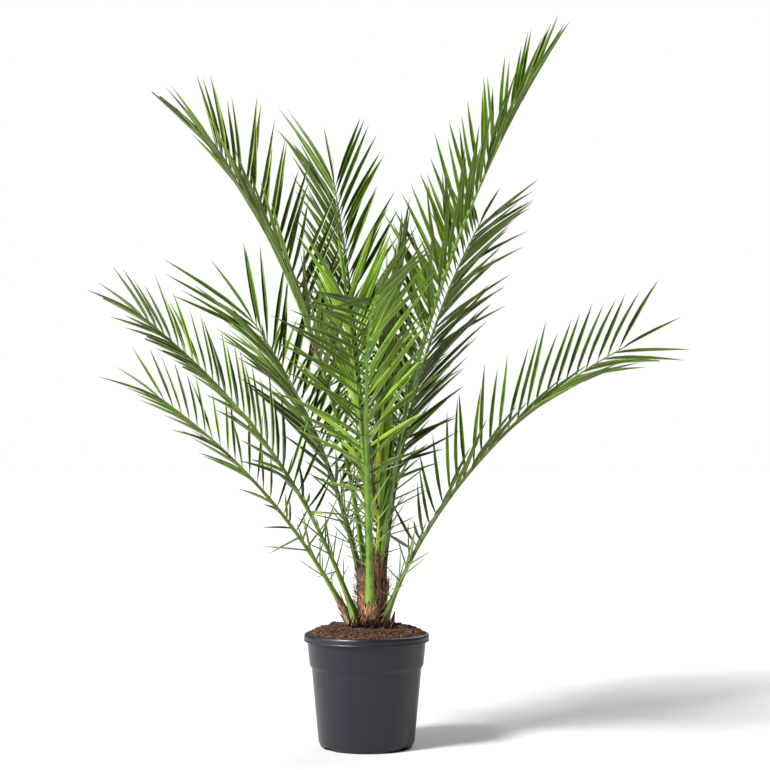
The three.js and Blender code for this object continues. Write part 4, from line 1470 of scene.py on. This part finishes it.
# The dry scraps
# Shreds of old sheath round the stalks' feet and on the high left rib, short dead roots and other
# debris round the trunk's foot, a black curled scale beside it, and two pale rootlets on the compost.

STRIP_STEPS = 7
STRIP_THINNESS = 0.0005
STRIP_THINNING = 0.7
STRIP_TAPER = 0.92
STRIP_CREASE = 60
# Each kind of scrap's darkest, middle and lightest colour
SCRAP_COLOURS = {
    "dry_sheath": ((0.10, 0.050, 0.032), (0.30, 0.17, 0.10), (0.62, 0.48, 0.36)),
    "red_sheath": ((0.10, 0.040, 0.022), (0.28, 0.125, 0.066), (0.50, 0.28, 0.16)),
    "dead_root": ((0.016, 0.008, 0.006), (0.080, 0.032, 0.020), (0.34, 0.175, 0.110)),
    "pale_root": ((0.28, 0.17, 0.10), (0.45, 0.31, 0.20), (0.66, 0.52, 0.38)),
}
SHRED_WIDTHS = [0.0025, 0.0065]
# How far out in the limb a shred is rooted, the least that it stands off, how much it curls, and what
# part of the shreds curl the other way
SHRED_ROOTED = 0.9
SHRED_LEAST_LIFT = 0.3
SHRED_CURL = 1.6
SHRED_CURL_BACK = 0.4
# The low left foot's and the rib's shreds: how many, between which shares of the frond, how long,
# and how far they stand off
FOOT_SHREDS = 20
FOOT_SHRED_SHARES = [-0.020, 0.070]
FOOT_SHRED_LENGTHS = [0.012, 0.034]
FOOT_SHRED_LIFT = 0.20
RIB_SHREDS = 16
RIB_SHRED_SHARES = [0.45, 0.52]
RIB_SHRED_LENGTHS = [0.014, 0.036]
RIB_SHRED_LIFT = 0.6
# The inner stalks with shreds round the foot and how many, how far from their seat, how long, and
# how far they stand off
SHEATH_SHREDS = {"right_high": 22, "right_back": 14, "left_high": 16, "left_mid": 18, "inner_left": 14}
SHEATH_SHRED_REACH = 0.020
SHEATH_SHRED_LENGTHS = [0.010, 0.026]
SHEATH_SHRED_LIFT = 0.5
# The debris before the front stalk: how many bits, and the turns round the trunk and the distances
# from its axis that they lie between
DEBRIS = 120
DEBRIS_TURNS = [222, 308]
DEBRIS_REACHES = [0.050, 0.064]
DEBRIS_LENGTHS = [0.018, 0.036]
DEBRIS_WIDTHS = [0.0020, 0.0056]
DEBRIS_SINK = 0.002
# Which way they point: how much round the trunk, inwards and, between two limits, upwards. Then how
# much they curl, and what part of them curl the other way.
DEBRIS_SLANT = 3.0
DEBRIS_INWARDS = 0.3
DEBRIS_RISES = [0.6, 1.6]
DEBRIS_CURL = 2.6
DEBRIS_CURL_BACK = 0.3
# The dead roots round the trunk's foot, how unevenly they stand and how deep they are set
DEAD_ROOTS = 26
DEAD_ROOT_JUMBLE = 0.6
DEAD_ROOT_SINK = 0.001
DEAD_ROOT_HEIGHTS = [TRUNK_FOOT + 0.004, TRUNK_FOOT + 0.026]
DEAD_ROOT_LENGTHS = [0.014, 0.028]
DEAD_ROOT_WIDTH = 0.0018
DEAD_ROOT_CURL = 1.2
# Which way they point: how much outwards, round the trunk and down, and how much higher than that
# some of them point
DEAD_ROOT_OUTWARDS = 0.6
DEAD_ROOT_SLANT = 1.6
DEAD_ROOT_LOWEST = -0.7
DEAD_ROOT_HIGHER = 0.9
# Each strip of the scale and each rootlet: its root, its direction, the way that its width lies, its
# length and width, and how much it curls
SCALE_STRIPS = [
    ((0.049, -0.022, 0.226), (0.06, 0.0, 1.0), (1.0, 0.5, 0.0), 0.036, 0.0090, -0.7),
    ((0.048, -0.024, 0.226), (0.30, -0.2, 1.0), (1.0, 0.5, 0.0), 0.024, 0.0070, 1.2),
]
ROOTLETS = [
    ((0.018, -0.036, 0.2450), (1.0, -0.45, -0.60), (0.4, 1.0, 0.0), 0.022, 0.0020, 0.2),
    ((0.024, -0.038, 0.2415), (1.0, -0.10, -0.22), (0.0, 1.0, 0.0), 0.016, 0.0018, -0.3),
]


def strip(root, direction, sideways, length, width, curl):
    """Rings of points along a thin dry strip that curls towards its tip, and their places along it."""
    along = np.array(direction) / np.linalg.norm(direction)
    side = np.array(sideways) - along * along.dot(sideways)
    side /= np.linalg.norm(side)
    centre = np.array(root)
    rings = []
    for j in range(STRIP_STEPS + 1):
        way = j / STRIP_STEPS
        face = np.cross(along, side)
        half = width / 2 * (1 - STRIP_TAPER * way ** 2)
        thin = face * STRIP_THINNESS * (1 - STRIP_THINNING * way)
        rings.append([centre + side * half, centre + thin, centre - side * half, centre - thin])
        bend = 2 * curl * way / STRIP_STEPS
        along = along * math.cos(bend) + face * math.sin(bend)
        centre = centre + along * length / STRIP_STEPS
    return rings, [length * j / STRIP_STEPS for j in range(STRIP_STEPS + 1)]


def around(turn):
    """The directions outwards from an upright axis and round it, at this turn."""
    outwards = np.array([math.cos(turn), math.sin(turn), 0.0])
    sideways = np.array([-math.sin(turn), math.cos(turn), 0.0])
    return outwards, sideways


def strips_piece(name, strips, material, node):
    """One mesh of dry strips that takes the place of part of a node."""
    joined = Joined()
    for rings, heights in strips:
        points, faces, uvs = ringed(rings, heights)
        joined.put(points, faces, [0] * len(faces), uvs)
    piece = joined.piece(name, [material], STRIP_CREASE)
    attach(piece, "root")
    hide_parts(node)


def shreds_along(frond, count, shares, lengths, lift):
    """Dry strips that part from a frond's limb between two shares of its length."""
    number = frond["number"]
    strips = []
    for i in range(count):
        share = between(shares, i, number, 31)
        centre, across, up, along = place_at(frond, share)
        half_width, half_thickness = limb_size(frond, share)
        turn = 2 * math.pi * chance(i, number, 32)
        outwards = across * math.cos(turn) + up * math.sin(turn)
        inside = across * half_width * math.cos(turn) + up * half_thickness * math.sin(turn)
        direction = along + outwards * lift * (SHRED_LEAST_LIFT + chance(i, number, 33))
        length = between(lengths, i, number, 34)
        width = between(SHRED_WIDTHS, i, number, 35)
        curl = SHRED_CURL * (chance(i, number, 36) - SHRED_CURL_BACK)
        root = centre + inside * SHRED_ROOTED
        strips.append(strip(root, direction, np.cross(along, outwards), length, width, curl))
    return strips


scraps = {name: fibrous(name, *colours) for name, colours in SCRAP_COLOURS.items()}

foot_shreds = shreds_along(
    by_name["left_low"], FOOT_SHREDS, FOOT_SHRED_SHARES, FOOT_SHRED_LENGTHS, FOOT_SHRED_LIFT,
)
strips_piece("foot_shreds", foot_shreds, scraps["dry_sheath"], "stalk_left_low")
rib_shreds = shreds_along(
    by_name["left_high"], RIB_SHREDS, RIB_SHRED_SHARES, RIB_SHRED_LENGTHS, RIB_SHRED_LIFT,
)
strips_piece("rib_shreds", rib_shreds, scraps["red_sheath"], "frond_left_high")
sheath_shreds = []
for name, count in SHEATH_SHREDS.items():
    share = SHEATH_SHRED_REACH / by_name[name]["length"]
    sheath_shreds += shreds_along(
        by_name[name], count, (-share, share), SHEATH_SHRED_LENGTHS, SHEATH_SHRED_LIFT,
    )
strips_piece("sheath_shreds", sheath_shreds, scraps["red_sheath"], "trunk")

roots = []
for i in range(DEBRIS):
    outwards, sideways = around(math.radians(between(DEBRIS_TURNS, i, 61, 62)))
    reach = between(DEBRIS_REACHES, i, 63, 64)
    root = np.array([TRUNK_X, 0.0, SOIL_TOP - DEBRIS_SINK]) + outwards * reach
    direction = sideways * DEBRIS_SLANT * (chance(i, 67, 68) - 0.5) - outwards * DEBRIS_INWARDS
    direction[2] = between(DEBRIS_RISES, i, 69, 70)
    length = between(DEBRIS_LENGTHS, i, 65, 66)
    width = between(DEBRIS_WIDTHS, i, 73, 74)
    curl = DEBRIS_CURL * (chance(i, 71, 72) - DEBRIS_CURL_BACK)
    roots.append(strip(root, direction, outwards, length, width, curl))
for i in range(DEAD_ROOTS):
    outwards, sideways = around(2 * math.pi * (i + DEAD_ROOT_JUMBLE * chance(i, 41, 42)) / DEAD_ROOTS)
    height = between(DEAD_ROOT_HEIGHTS, i, 43, 44)
    root = np.array([TRUNK_X, 0.0, height]) + outwards * (trunk_radius(height) - DEAD_ROOT_SINK)
    direction = outwards * DEAD_ROOT_OUTWARDS + sideways * DEAD_ROOT_SLANT * (chance(i, 47, 48) - 0.5)
    direction[2] = DEAD_ROOT_LOWEST + DEAD_ROOT_HIGHER * chance(i, 49, 50)
    length = between(DEAD_ROOT_LENGTHS, i, 45, 46)
    roots.append(strip(root, direction, (0.0, 0.0, 1.0), length, DEAD_ROOT_WIDTH, DEAD_ROOT_CURL))
roots += [strip(*scale_strip) for scale_strip in SCALE_STRIPS]
strips_piece("dead_roots", roots, scraps["dead_root"], "trunk")
rootlets = [strip(*rootlet) for rootlet in ROOTLETS]
strips_piece("rootlets", rootlets, scraps["pale_root"], "soil")
